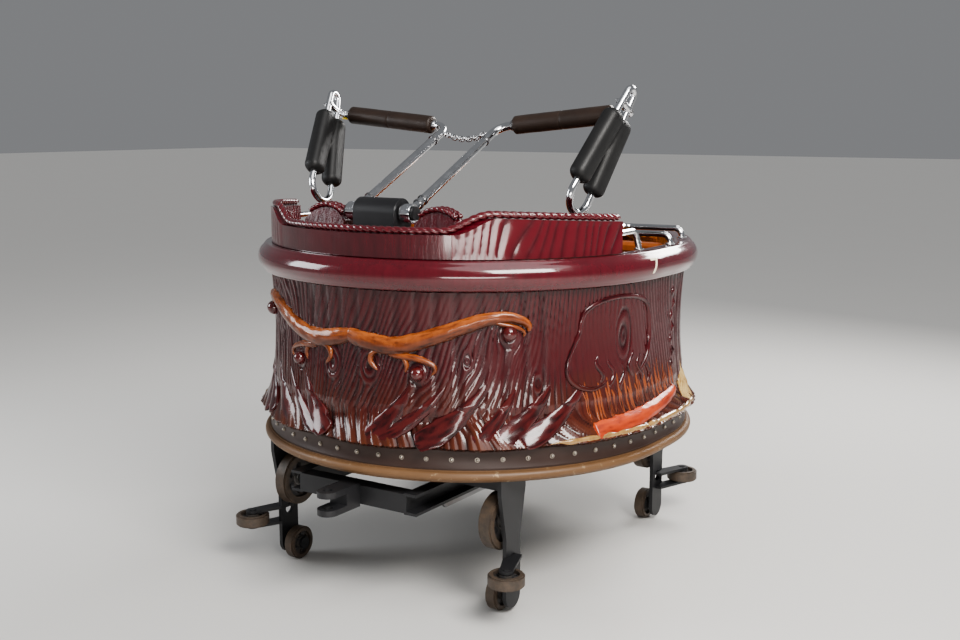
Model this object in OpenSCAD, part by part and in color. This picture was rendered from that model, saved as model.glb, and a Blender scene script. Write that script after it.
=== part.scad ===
// Roller coaster car: a round carved-wood tub for two riders, its two raised lap
// restraints, and the steel undercarriage with load, guide and up-stop wheels.
// Millimetres. +Y is the direction of travel, +X is the riders' right, +Z is up.
// The origin is midway between the two couplings, at the foot of the up-stop wheels.

/* [Tub] */
// Height of the tub's base above the foot of the wheels
base_z = 580; // [560:10:640]
// Half width of the rim
rim_r = 985; // [960:5:1010]
// Half length of the straight side between the two round ends
straight = 65; // [40:5:80]
// Depth of the rim from its inner face to its outer edge
rim_w = 115; // [110:1:130]
// Height of the rim's band
rim_h = 130; // [110:5:140]
// Height of the top of the rim above the base
rim_top = 890; // [850:10:930]
// Thickness of the wall at its waist
wall_t = 42; // [30:2:50]
// How far the wall flares at its top and foot
wall_flare = 14; // [8:1:20]
// Height of the bottom rail
rail_h = 48; // [40:2:60]
// Height of the recessed band above the bottom rail
band_h = 84; // [70:2:100]
// Height of the flared roots above the band
root_h = 165; // [140:5:190]
// How far the roots flare out beyond the waist
root_flare = 80; // [60:2:90]
// Thickness of the floor
floor_z = 60; // [50:5:80]

/* [Seats] */
// Sideways place of each rider's middle
seat_x = 290; // [270:5:310]
// Top of the bench under its cushions
bench_z = 460; // [420:10:480]
// Depth of the bench in front of the seat back's foot
bench_l = 450; // [420:10:500]
// How far the seat back's top leans back from its foot
back_lean = 130; // [110:5:150]
// Depth of the deck between the seat back and the rear wall
deck_l = 190; // [175:5:200]
// Height of the seat back's top and the rear deck above the rim
deck_rise = 95; // [70:5:110]
// Thickness of the seat back
back_t = 55; // [45:5:65]
// Thickness of the seat cushions
cushion_t = 90; // [60:5:110]
// Width of each cushion
cushion_w = 430; // [380:5:450]
// Width of each headrest block
head_w = 210; // [180:5:230]
// Height of the headrests above the deck
head_rise = 76; // [50:2:90]
// Height of the wings above the rim, at their rear end
wing_rise = 160; // [130:5:190]
// Length of the wings along the car, up to the step behind them
wing_l = 470; // [430:10:490]
// Thickness of the wings
wing_t = 46; // [40:2:50]
// Radius of the rope moulding
rope_r = 15; // [11:1:19]

/* [Restraints] */
// Distance of the restraints' pivot behind the front of the seat back's top
pivot_back = 60; // [50:5:80]
// Height of the restraints' pivot above the deck
pivot_rise = 66; // [62:2:80]
// Sideways place of each restraint's arm
arm_x = 140; // [136:2:144]
// Radius of the arm and lap tube
tube_r = 19; // [16:1:22]
// Bend radius of the arm
arm_bend = 70; // [50:5:90]
// Length of the arm from its pivot to its bend
arm_len = 774; // [740:2:790]
// Rise of the arm when the restraint is raised, in degrees
arm_rise = 26.5; // [22:0.5:32]
// Sideways reach of the lap tube's outer end
lap_x = 790; // [770:5:800]
// Radius of the foam on the lap tube
lap_pad_r = 42; // [32:1:46]
// Radius of the chrome loop that holds the bolster's pads
loop_r = 16; // [13:1:18]
// Distance from the loop's foot bend to its hoop, between the middles of the two bends
loop_len = 480; // [460:5:490]
// Width of the loop's foot bend
loop_gap = 150; // [140:5:160]
// Width of the hoop at the loop's top
hoop_gap = 56; // [54:2:70]
// Thickness of the bolster's pads across the car
bolster_t = 84; // [70:2:90]
// Width of each of the bolster's pads along the car
bolster_w = 104; // [100:2:112]
// Radius of the pivot's shaft
shaft_r = 20; // [16:1:24]
// Radius of the chain's wire
chain_r = 4; // [3:0.5:5]

/* [Grab rails] */
// Radius of the grab rails' tube
grab_r = 14; // [12:1:18]
// Height of the grab rails' middle above the rim
grab_rise = 44; // [40:2:60]
// Bend radius of the grab rails
grab_bend = 36; // [30:2:38]

/* [Undercarriage] */
// Sideways place of the two running rails
rail_x = 550; // [530:5:570]
// Diameter of the tube rails that the wheels are set for
rail_d = 115; // [105:5:120]
// Place of each axle, ahead of and behind the middle
axle_y = 700; // [660:10:740]
// Radius of the load wheels
load_r = 120; // [110:5:125]
// Radius of the up-stop and guide wheels
small_r = 75; // [70:1:80]
// Width of the load wheels
load_w = 60; // [50:2:64]
// Width of the small wheels
small_w = 50; // [40:2:54]
// Radius of the wheels' pins
pin_r = 16; // [12:1:20]
// Running clearance of a wheel on its pin
run = 0.05; // [0.03:0.01:0.08]
// Thickness of the wheel carriers' plates
plate_t = 18; // [14:1:22]
// Height of the axle beams
beam_h = 55; // [45:5:60]
// Width of the axle beams
beam_w = 100; // [80:5:120]
// Height of the frame's long rails
frame_h = 90; // [70:5:110]
// Distance from the middle of the car to each long rail's middle
frame_x = 300; // [260:10:320]
// Distance from the middle to each coupling
coupling_y = 1130; // [1120:5:1160]
// Radius of the couplings' bores
coupling_r = 20; // [16:1:24]
// Thickness of the brake fin
fin_t = 16; // [12:1:20]
// Thickness of the drawbar's eye
eye_t = 44; // [36:2:48]

/* [Hidden] */
$fn = 96;
// gap between curved faces of one assembly that bear on each other
fit = 0.3;
// the same gap where a large round piece stands inside another
round_gap = 0.8;
tube_sides = 16;
bend_steps = 6;
plan_fn = 240;

wall_in = rim_r - rim_w;
waist_r = wall_in + wall_t;
wall_end_r = waist_r + wall_flare;
band_top = rail_h + band_h;
wall_foot = band_top + root_h;
wall_top = rim_top - rim_h;
wall_mid = (wall_foot + wall_top) / 2;
// gap under a carving, which its flat foot needs on the round wall
seat_gap = 0.9;
wall_half = (wall_top - wall_foot) / 2;
deck_z = rim_top + deck_rise;
back_top_y = deck_l + back_t - wall_in - straight;
back_foot = back_top_y + back_lean;
bench_front = back_foot + bench_l;
wing_rear = back_top_y - 80;
wing_front = wing_rear + wing_l;
pivot_y = back_top_y - pivot_back;
wing_in = wall_in + 4;
wing_drop = 30;
deck_t = 30;
deck_fall = 14;
step_l = 105;
step_steps = 16;
liner_t = 14;
head_round = head_w * 0.62;
dash_foot = wall_in - 310;
dash_top_z = rim_top - 70;
dash_lean = 64;

pivot_z = deck_z + pivot_rise;
block_x = arm_x - 34;
block_r = 60;
hub_w = 52;
hub_r = 40;
arm_end = [arm_x, pivot_y + arm_len * cos(arm_rise), pivot_z + arm_len * sin(arm_rise)];
lap_out = [lap_x, arm_end[1], arm_end[2] + 62];
loop_tilt = -29.5;
loop_lean = 12.5;

rail_z = 2 * small_r + rail_d / 2;
load_z = 2 * small_r + rail_d + load_r;
beam_bottom = base_z - beam_h;
frame_bottom = beam_bottom - frame_h;
frame_w = 60;
frame_end = coupling_y - 150;
plate_x = rail_x + load_w / 2 + 20;
guide_x = rail_x + rail_d / 2 + small_r;
guide_y = 160;
coupling_z = beam_bottom - frame_h / 2;
fin_bottom = load_z - load_r - 35;
tie_y = axle_y * 0.47;
tie_w = 70;
tie_gap = 5;

SIDES = [[1, "right"], [-1, "left"]];
CORNERS = [[1, 1, "front_right"], [-1, 1, "front_left"], [1, -1, "rear_right"], [-1, -1, "rear_left"]];

// Frames, outlines and sweeps

// Everything in the tub is drawn above its own base.
module above_base() { translate([0, 0, base_z]) children(); }

// The drawing and its mirror image on the other side of the car.
module both_sides() { for (s = [0, 1]) mirror([s, 0, 0]) children(); }

// The drawing on the right-hand side, or its mirror image on the left.
module on_side(s) { mirror([s < 0 ? 1 : 0, 0, 0]) children(); }

// The tub's outline in plan: two half rounds joined by short straight sides.
module plan(r) {
    for (s = [1, -1]) translate([0, s * straight]) circle(r, $fn = plan_fn);
    translate([-r, -straight]) square([2 * r, 2 * straight]);
}

// A solid with the tub's outline, from z0 to z1.
module prism(r, z0, z1) { translate([0, 0, z0]) linear_extrude(z1 - z0) plan(r); }

// A wall with the tub's outline, between two radii and two heights.
module shell(r0, r1, z0, z1) {
    difference() {
        prism(r1, z0, z1);
        prism(r0, z0 - 1, z1 + 1);
    }
}

// A profile, drawn as [radius, height], swept once round the tub's outline.
module sweep_round() {
    for (s = [0, 180]) rotate([0, 0, s]) translate([0, straight, 0]) {
        rotate_extrude(angle = 180) children();
        rotate([90, 0, 0]) linear_extrude(2 * straight) children();
    }
}

// A profile, drawn as [y, z], extruded across the car over x0 to x1.
module across(x0, x1) { translate([x0, 0, 0]) rotate([90, 0, 90]) linear_extrude(x1 - x0) children(); }

// A round bar between two points.
module bar(a, b, r) {
    d = b - a;
    translate(a) rotate([0, acos(d[2] / norm(d)), atan2(d[1], d[0])]) cylinder(r = r, h = norm(d));
}

function unit(v) = v / norm(v);

// The points of one bend, at corner b of the path a, b, c.
function corner(a, b, c, bend) =
    let (u = unit(b - a), v = unit(c - b), turn = acos(u * v), out = unit((u * v) * u - v),
        centre = b - u * bend * tan(turn / 2) - bend * out)
    [for (i = [0:bend_steps]) let (q = turn * i / bend_steps) centre + bend * (out * cos(q) + u * sin(q))];

// The path of a bent tube through its corner points.
function bent_path(points, bend) = concat(
    [points[0]],
    [for (i = [1:len(points) - 2]) each corner(points[i - 1], points[i], points[i + 1], bend)],
    [points[len(points) - 1]]
);

// A direction square to t, as near to n as can be.
function square_to(n, t) = unit(n - (n * t) * t);

// The directions along a path, at each of its points.
function tangents_of(path, closed) = let (n = len(path)) [for (i = [0:n - 1]) closed
    ? unit(path[(i + 1) % n] - path[(i + n - 1) % n])
    : unit(path[min(i + 1, n - 1)] - path[max(i - 1, 0)])];

// A skin over rings of points, each ring with as many points as the next.
module skin(rings, closed) {
    n = len(rings);
    m = len(rings[0]);
    walls = [for (i = [0:(closed ? n : n - 1) - 1], k = [0:m - 1]) let (j = (i + 1) % n, l = (k + 1) % m)
        [i * m + k, j * m + k, j * m + l, i * m + l]];
    caps = closed ? [] : [[for (k = [0:m - 1]) k], [for (k = [m - 1:-1:0]) (n - 1) * m + k]];
    polyhedron([for (ring = rings) each ring], concat(walls, caps), convexity = 10);
}

// A tube swept along a path of points. A closed path runs back into its start.
module tube(path, r, closed = false, sides = tube_sides) {
    n = len(path);
    t = tangents_of(path, closed);
    first = abs(t[0][0]) < 0.9 ? [1, 0, 0] : [0, 0, 1];
    normals = [for (i = 0, v = square_to(first, t[0]); i < n; i = i + 1,
        v = i < n ? square_to(v, t[i]) : v) v];
    skin([for (i = [0:n - 1]) let (side = cross(t[i], normals[i])) [for (k = [0:sides - 1])
        path[i] + r * (cos(360 * k / sides) * normals[i] + sin(360 * k / sides) * side)]], closed);
}

// The tub's outer wall

// Radius of the wall's outer face at height z.
function wall_r(z) = waist_r + wall_flare * pow((z - wall_mid) / wall_half, 2);

// A place on the tub's outline at angle a, counted from the right-hand side towards
// the rear, as [point, outward direction]. The straight sides count as part of 0 degrees.
function outline_at(a, r) = let (out = [cos(a), -sin(a)])
    [[r * out[0], r * out[1] + (a < 0 ? straight : a > 0 ? -straight : 0)], out];

// One point of a carving, at angle a and height z, standing h out from the wall.
function on_wall(a, z, h) = let (p = outline_at(a, wall_r(z) + seat_gap + h)[0]) [p[0], p[1], z];

// A path with a point put in between each two, on a smooth curve through them.
function refined(path) = let (n = len(path)) [for (i = [0:n - 1]) each i == n - 1 ? [path[i]] : [
    path[i], (9 * (path[i] + path[i + 1]) - path[max(i - 1, 0)] - path[min(i + 2, n - 1)]) / 16]];

// The half height of the wall that the carvings' tables are drawn for.
drawn_half = 232;

// A raised carving on the wall. Its path is a list of [angle, height above the waist, half
// width, rise], and all but the angle keep their share of the wall's height.
module carving(drawn) {
    per_degree = waist_r * PI / 180;
    k = wall_half / drawn_half;
    path = [for (p = drawn) [p[0], wall_mid + k * p[1], k * p[2], k * p[3]]];
    n = len(path);
    skin([for (i = [0:n - 1]) let (
        step = path[min(i + 1, n - 1)] - path[max(i - 1, 0)],
        t = unit([step[0] * per_degree, step[1]])
    ) [for (q = [0:30:180]) on_wall(
        path[i][0] + t[1] * path[i][2] * cos(q) / per_degree,
        path[i][1] - t[0] * path[i][2] * cos(q),
        path[i][3] * sin(q)
    )]], false);
}

// A half-round knob on the wall, given in the same way.
module knob(a, above, drawn_r) {
    z = wall_mid + wall_half / drawn_half * above;
    r = wall_half / drawn_half * drawn_r;
    o = outline_at(a, wall_r(z) + r * 0.2)[0];
    difference() {
        translate([o[0], o[1], z]) sphere(r, $fn = 48);
        prism(max(wall_r(z - r), wall_r(z + r)) + fit, z - 2 * r, z + 2 * r);
    }
}

module base_rail() {
    color("#6b4c2a") above_base() sweep_round() {
        translate([wall_in, 0]) square([wall_t + 40, rail_h]);
        translate([waist_r + 40, rail_h / 2]) circle(rail_h / 2 - 4);
    }
}

module base_ring() {
    color("#2a1a14") above_base() sweep_round() difference() {
        translate([wall_in, rail_h]) square([wall_t + 34, band_h]);
        translate([waist_r + 34 + band_h, rail_h + band_h / 2]) circle(band_h * 1.08);
    }
}

// The roots: the tub's foot, flared and grooved between root and root.
root_rings = 120;
root_rows = 8;
groove = 22;
log_rise = 26;

tuft_rise = 14;

// Depth of the grooves round the foot, from 0 on a root to 1 between two roots.
function groove_at(a) = pow(abs(sin(6.5 * a + 20 * sin(2 * a))), 3);

// 1 within reach of the middle, and 0 away from it.
function near(x, middle, reach) = exp(-pow((x - middle) / reach, 4));

// How far down the foot the bright root lies, at an angle from the side's middle. It rises
// towards the front.
function log_t(side) = lookup(side, [[-9, 0.2], [-4, 0.38], [0, 0.5], [5, 0.58], [11, 0.64], [25, 0.72]]);

// Radius of the foot at angle a, a share t of the way down it: its flare, the bright root, the
// tuft in front of that, and the grooves between the other roots.
function root_r(a, t) =
    let (side = abs(a) < 90 ? a : a > 0 ? 180 - a : -180 - a,
        root = near(side, 9, 17), tuft = near(side, -17, 5.5))
    wall_end_r + (root_flare - wall_flare) * pow(t, 2.1)
        + log_rise * root * near(t, log_t(side), 0.25) * (1 - 0.3 * t)
        + tuft_rise * tuft * near(t, 0.55, 0.42) * (1 - 0.5 * t)
        - groove * groove_at(a) * sin(90 * min(1, 1.25 * t)) * (1 - root) * (1 - tuft);

module root_skirt() {
    z_lip = band_top + 16;
    inner = wall_in + round_gap;
    color("#7a2418") above_base() skin([for (i = [0:root_rings - 1])
        let (a = 360 * (i + 0.5) / root_rings - 180) concat(
            [[each outline_at(a, inner)[0], wall_foot]],
            [for (k = [0:root_rows]) let (t = k / root_rows)
                [each outline_at(a, root_r(a, t))[0], wall_foot - (wall_foot - z_lip) * t]],
            [[each outline_at(a, root_r(a, 1) - 12)[0], band_top]],
            [[each outline_at(a, inner)[0], band_top]]
        )], true);
}

// The main grooves between the wall's carved strands: half of those at the tub's rear and
// front, each as an angle from the middle of that end. The knot panels on the flanks have none.
strand_w = 5.4;
strand_cut = 1.9;
strand_deep = 5;
rear_grooves = [for (k = [0:9]) strand_w * (k + 0.5)];
front_grooves = [for (k = [0:14]) strand_w * (k + 0.5)];

// The wall's section, with its waist drawn in by a depth and its ends drawn out by another.
module wall_section(deep, over) {
    sag = (wall_half * wall_half + wall_flare * wall_flare) / (2 * wall_flare);
    difference() {
        translate([wall_in, wall_foot - over]) square([wall_t + wall_flare, 2 * (wall_half + over)]);
        translate([waist_r + sag - deep, wall_mid]) circle(sag, $fn = 360);
    }
}

module tub_wall() {
    color("#5a1820") above_base() difference() {
        sweep_round() wall_section(0, 0);
        for (end = [[-1, rear_grooves], [1, front_grooves]], a = end[1], s = [1, -1])
            translate([0, end[0] * straight, 0]) rotate([0, 0, end[0] * 90 + s * a - strand_cut / 2])
                rotate_extrude(angle = strand_cut) difference() {
                    translate([wall_in + 10, wall_foot - 1]) square([wall_t + wall_flare, 2 * wall_half + 2]);
                    wall_section(strand_deep, 2);
                }
    }
}

// Carved relief on each flank: a branch that curls round a knob, a knot hole's frame,
// hanging rootlets, and a braid.
branch = [
    [87, 28, 30, 22], [81, 12, 32, 27], [76, 12, 31, 28], [70.5, 32, 30, 28], [64.5, 64, 29, 27],
    [58.5, 98, 28, 26], [53, 124, 26, 25], [48, 132, 22, 23], [44.3, 118, 18, 20], [42.5, 94, 14, 16],
    [42.6, 72, 9, 11]
];
offshoot = [
    [79, -18, 20, 16], [75, -28, 18, 18], [70.5, -38, 15, 16], [67, -58, 12, 13], [66, -82, 9, 10],
    [67, -104, 6, 7]
];

// The knot hole's frame, from its lower curl up its rear edge, over the top and down the front.
frame_path = [
    [19, -156, 5, 6], [21.5, -178, 9, 10], [25, -186, 12, 13], [28.5, -172, 14, 15], [31, -140, 14, 15],
    [32, -98, 13, 14], [31.5, -48, 12, 13], [30, 2, 12, 13], [28.5, 52, 12, 13], [28, 102, 13, 14],
    [26.5, 144, 14, 15], [22.5, 172, 13, 14], [16.5, 184, 12, 12], [9.5, 174, 12, 12], [4, 144, 13, 13],
    [1, 96, 13, 14], [-0.5, 38, 14, 15], [-0.5, -20, 14, 15], [1, -78, 13, 14], [4, -128, 11, 11],
    [8, -166, 6, 7]
];

module wall_carvings() {
    color("#a0501e") above_base() both_sides() {
        carving(refined(branch));
        carving(refined(offshoot));
        carving(refined(frame_path));
        for (k = [0:5]) carving([for (i = [0:5])
            [22 - 4 * k + 1.1 * sin(70 * i + 80 * k), -48 - 24 * (k % 3) - 24 * i, 10 + i, 8 + i]]);
        for (k = [0:6]) carving([for (i = [0:3]) let (z = -198 + 54 * k + 18 * i)
            [-6.5 + 0.9 * sin(60 * i + 180 * (k % 2)), z, 7 + 8 * sin(60 * i), 5 + 9 * sin(60 * i)]]);
        knob(47.5, 68, 32);
        knob(70.5, -98, 28);
    }
}

module rim() {
    bead = 13;
    color("#6a1a26") above_base() sweep_round() {
        translate([wall_in, wall_top]) square([rim_w - rim_h / 2, rim_h]);
        intersection() {
            translate([rim_r - rim_h / 2, wall_top + rim_h / 2]) circle(rim_h / 2);
            translate([wall_in, wall_top]) square([rim_w, rim_h]);
        }
        translate([rim_r - 42, rim_top - bead]) circle(bead);
        translate([rim_r - 34, wall_top + bead]) circle(bead);
    }
}

module floor_pan() {
    color("#3a2a20") above_base() prism(wall_in - round_gap, 0, floor_z);
}

// The carved lining of the foot well.
module liner() {
    color("#b4561a") above_base() intersection() {
        shell(wall_in - liner_t, wall_in - round_gap, floor_z, rim_top - 16);
        across(-wall_in, wall_in) translate([bench_front + fit, 0]) square([2 * wall_in, rim_top]);
    }
}

// Seats

// Side view of the bench and the leaning seat back.
module seat_profile() {
    roll = 38;
    difference() {
        polygon([
            [bench_front, floor_z], [bench_front, bench_z], [back_foot, bench_z],
            [back_top_y, deck_z], [back_top_y - back_t, deck_z],
            [back_foot - back_t - 20, bench_z - 60], [back_foot - back_t - 20, floor_z]
        ]);
        translate([bench_front - roll, bench_z - roll]) difference() {
            square(2 * roll);
            circle(roll);
        }
    }
}

module seat_shell() {
    hump_w = 2 * (seat_x - cushion_w / 2) - 30;
    color("#4a1218") above_base() intersection() {
        union() {
            across(-wall_in, wall_in) seat_profile();
            across(-hump_w / 2, hump_w / 2) polygon([
                [bench_front - 90, bench_z - 1], [bench_front - 120, bench_z + cushion_t + 30],
                [back_foot - 20, bench_z + cushion_t + 60], [back_foot - 20, bench_z - 1]
            ]);
        }
        prism(wall_in - round_gap, floor_z, deck_z + 1);
    }
}

// The top of the wings and of the low rear wall: [place along the car, height], with a
// wave from the one down to the other.
step_rise = rim_top + wing_rise - deck_z;
top_line = concat(
    [[-2 * rim_r, deck_z]],
    [for (k = [step_steps:-1:0])
        [wing_rear - step_l * k / step_steps, deck_z + step_rise * (1 + cos(180 * k / step_steps)) / 2]],
    [[wing_front, rim_top + wing_rise - wing_drop], [0, rim_top + wing_rise - wing_drop]]
);
function top_z(y) = lookup(y, top_line);

// Height of the middle of a rope of radius r that lies on that line.
function rope_z(y, r) = max([for (q = [-88:8:88]) top_z(y + r * sin(q)) + r * cos(q)]) + fit;

module rear_deck() {
    y0 = back_top_y - back_t;
    y1 = -(wing_in + wing_t + straight);
    color("#5c1a22") above_base() {
        intersection() {
            across(-wall_in, wall_in) polygon([
                [y0, deck_z], [y1, deck_z - deck_fall],
                [y1, deck_z - deck_fall - deck_t], [y0, deck_z - deck_t]
            ]);
            prism(wing_in, 0, deck_z + 1);
        }
        intersection() {
            shell(wing_in - 8, wing_in + wing_t, rim_top, deck_z);
            across(-rim_r, rim_r) translate([y1, 0]) square([wing_rear - step_l - y1, 2 * deck_z]);
        }
    }
}

// One curved wing beside each rider's shoulder, standing on the flat of the rim.
module wings() {
    color("#5c1a22") above_base() intersection() {
        shell(wing_in, wing_in + wing_t, rim_top, rim_top + wing_rise + 1);
        across(-rim_r, rim_r) polygon(concat(
            [[wing_front, rim_top], [wing_front, top_z(wing_front)]],
            [for (k = [0:step_steps]) let (y = wing_rear - step_l * k / step_steps) [y, top_z(y)]],
            [[wing_rear - step_l, rim_top]]
        ));
    }
}

module headrests() {
    depth = back_t + 40;
    color("#5c1a22") above_base() both_sides() intersection() {
        translate([seat_x, back_top_y, 0]) rotate([90, 0, 0]) linear_extrude(depth) intersection() {
            translate([-head_w / 2, deck_z]) square([head_w, head_rise]);
            translate([0, deck_z + head_rise - head_round]) circle(head_round);
        }
        across(seat_x - head_w, seat_x + head_w) polygon([
            [back_top_y, deck_z], [back_top_y - 14, deck_z + head_rise],
            [back_top_y - depth + 26, deck_z + head_rise], [back_top_y - depth, deck_z]
        ]);
    }
}

// Rope mouldings: along the wings and the rear wall, and over each headrest.
module rope_trim() {
    thin = rope_r * 0.8;
    rc = wing_in + wing_t / 2;
    turn = 10;
    rr = (head_round + thin + fit) / cos(turn / 2);
    ends = [for (y = [wing_front + rope_r, wing_rear, wing_rear - step_l]) asin((-y - straight) / rc)];
    marks = [ends[0], ends[1], ends[2], 180 - ends[2], 180 - ends[1], 180 - ends[0]];
    counts = [14, step_steps, 20, step_steps, 14];
    angles = concat(
        [for (i = [0:4], k = [0:counts[i] - 1]) marks[i] + (marks[i + 1] - marks[i]) * k / counts[i]],
        [marks[5]]
    );
    color("#7a2a34") above_base() {
        tube([for (a = angles) let (o = outline_at(a, rc)[0]) [o[0], o[1], rope_z(o[1], rope_r)]],
            rope_r, sides = 8);
        both_sides() for (y = [back_top_y - 30, back_top_y - back_t - 14])
            tube([for (q = [-40:turn:40])
                [seat_x + rr * sin(q), y, deck_z + head_rise - head_round + rr * cos(q)]], thin, sides = 8);
    }
}

// A slab with a rounded front stands for each soft seat cushion.
module seat_cushions() {
    depth = bench_front - back_foot - 40;
    color("#241a18") above_base() both_sides() across(seat_x - cushion_w / 2, seat_x + cushion_w / 2)
        translate([back_foot + 30, bench_z]) {
            square([depth - cushion_t / 2, cushion_t]);
            translate([depth - cushion_t / 2, cushion_t / 2]) circle(cushion_t / 2);
            translate([depth - cushion_t / 2, 0]) square([cushion_t / 4, cushion_t / 2]);
        }
}

module back_cushions() {
    lean = atan2(back_foot - back_top_y, deck_z - bench_z);
    t = 50;
    l = 380;
    color("#241a18") above_base() both_sides() translate([0, back_foot, bench_z]) rotate([lean, 0, 0])
        across(seat_x - cushion_w / 2, seat_x + cushion_w / 2) translate([0, cushion_t + 12]) {
            square([t / 2, l]);
            translate([t / 2, t / 2]) square([t / 2, l - t]);
            for (z = [t / 2, l - t / 2]) translate([t / 2, z]) circle(t / 2);
        }
}

// The front panel of the foot well, with the nose's deck above it.
module front_deck() {
    y1 = wall_in + straight;
    lip_y = dash_foot + dash_lean;
    color("#b4561a") above_base() intersection() {
        across(-wall_in, wall_in) {
            polygon([
                [dash_foot, floor_z], [lip_y - 10, dash_top_z - 40], [lip_y - 20, dash_top_z - 24],
                [lip_y - 20, dash_top_z], [lip_y - 10, dash_top_z + 16], [lip_y + 10, dash_top_z + 20],
                [lip_y + 34, dash_top_z + 8], [y1, rim_top - 22], [y1, rim_top - 52],
                [lip_y + 36, dash_top_z - 30], [dash_foot + 34, floor_z]
            ]);
        }
        prism(wall_in - liner_t - round_gap, 0, rim_top);
    }
}

// Grab rails beside each rider: a long one that stands on the rim, and a short one from
// the wing's front edge down to the rim.
module grab_bars() {
    z = rim_top + grab_rise;
    rim_mid = wing_in + wing_t / 2;
    wing_x = outline_at(asin((-wing_front - straight) / rim_mid), rim_mid)[0][0];
    grab_in = wall_in - 310;
    low = rim_top + 3;
    rear = [rim_mid + 10, 130];
    front = [rim_mid - 66, 430];
    short = [wing_x + 22, wing_front + 160];
    color("silver") above_base() both_sides() {
        tube(bent_path([
            [rear[0], rear[1], low], [rear[0], rear[1], z], [grab_in, rear[1] - 40, z],
            [grab_in, front[1] - 30, z], [front[0], front[1], z], [front[0], front[1], low]
        ], grab_bend), grab_r, sides = 12);
        tube(bent_path([
            [wing_x + 6, wing_front + fit, z + 36], [wing_x + 6, wing_front + 150, z + 36],
            [short[0], short[1], low]
        ], grab_bend), grab_r, sides = 12);
        for (p = [rear, front, short]) translate([p[0], p[1], rim_top]) cylinder(r = grab_r + 10, h = 6);
    }
}

// Restraints

// The block between the two headrests, with the shaft that both restraints turn on.
module pivot_block() {
    reach = arm_x + hub_w / 2 + 2;
    cap_t = 10;
    color("#2a1a14") above_base() {
        across(-block_x, block_x) {
            translate([pivot_y - block_r, deck_z]) square([2 * block_r, pivot_z - deck_z]);
            translate([pivot_y, pivot_z]) circle(block_r);
        }
        translate([-reach, pivot_y, pivot_z]) rotate([0, 90, 0]) cylinder(r = shaft_r, h = 2 * reach);
        for (s = [1, -1]) translate([s * (reach + cap_t / 2), pivot_y, pivot_z]) rotate([0, 90, 0])
            cylinder(r = shaft_r + 9, h = cap_t, center = true);
    }
}

// The loop's own frame, hung from the lap tube's outer end.
module loop_frame() {
    translate(lap_out) rotate([loop_tilt, 0, 0]) rotate([0, loop_lean, 0]) children();
}

// The loop's legs draw together from the wide bend at its foot to the narrow hoop at its top.
hoop_z = 52;
loop_back = 55;
leg_lean = asin((loop_gap - hoop_gap) / 2 / loop_len);

// The bend at one end of the loop, of radius r, from one angle to another.
function loop_bend(z, r, from, to) = [for (i = [0:2 * bend_steps])
    let (q = from + (to - from) * i / (2 * bend_steps)) [0, r * cos(q) - loop_back, z + r * sin(q)]];

// The loop's front leg (e = 1) or rear leg (e = -1), which runs down from the origin.
module on_leg(e) {
    r = hoop_gap / 2;
    translate([0, e * r * cos(leg_lean) - loop_back, hoop_z + r * sin(leg_lean)])
        rotate([e * leg_lean, 0, 0]) children();
}

// A small eye on the arm, which holds one end of the chain.
eye_r = 12;
eye_back = 75;
eye_at = [arm_x - tube_r - eye_r + 5, 0, 0] + [0, arm_end[1], arm_end[2]]
    - eye_back * [0, cos(arm_rise), sin(arm_rise)];
function ring_path(centre, r, steps) = [for (i = [0:steps - 1]) let (q = 360 * i / steps)
    centre + r * [cos(q), sin(q), 0]];

// The raised restraint: hub, arm, lap tube, and the loop that holds the side bolster.
module restraint(s) {
    color("silver") above_base() on_side(s) {
        difference() {
            union() {
                translate([arm_x - hub_w / 2, pivot_y, pivot_z]) rotate([0, 90, 0])
                    cylinder(r = hub_r, h = hub_w);
                tube(bent_path([[arm_x, pivot_y, pivot_z], arm_end, lap_out], arm_bend), tube_r);
            }
            translate([arm_x - hub_w, pivot_y, pivot_z]) rotate([0, 90, 0])
                cylinder(r = shaft_r + run, h = 2 * hub_w);
        }
        loop_frame() {
            tube(concat(
                loop_bend(hoop_z, hoop_gap / 2, leg_lean, 180 - leg_lean),
                loop_bend(hoop_z - loop_len, loop_gap / 2, 180 - leg_lean, 360 + leg_lean)
            ), loop_r, closed = true);
            rotate([90, 0, 0]) translate([0, 0, -10]) cylinder(r = loop_r + 2, h = 2 * loop_back);
        }
        tube(ring_path(eye_at, eye_r, 12), chain_r, closed = true, sides = 6);
    }
}

module lap_pad(s) {
    d = lap_out - arm_end;
    color("#2a1a16") above_base() on_side(s) difference() {
        bar(arm_end + 0.13 * d, arm_end + 0.88 * d, lap_pad_r);
        bar(arm_end, lap_out, tube_r + fit);
    }
}

// The side bolster: a pad on each leg of the loop, grown together at the top.
module bolster_pads(s) {
    flat = bolster_w - bolster_t;
    top = 104;
    length = loop_len - 134;
    color("#141212") above_base() on_side(s) loop_frame() difference() {
        for (e = [1, -1]) on_leg(e) translate([0, 0, -top - length]) linear_extrude(length) {
            for (y = [-flat / 2, flat / 2]) translate([0, y]) circle(bolster_t / 2);
            translate([-bolster_t / 2, -flat / 2]) square([bolster_t, flat]);
        }
        for (e = [1, -1]) on_leg(e) translate([0, 0, -2 * loop_len])
            cylinder(r = loop_r + fit, h = 2 * loop_len);
    }
}

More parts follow.
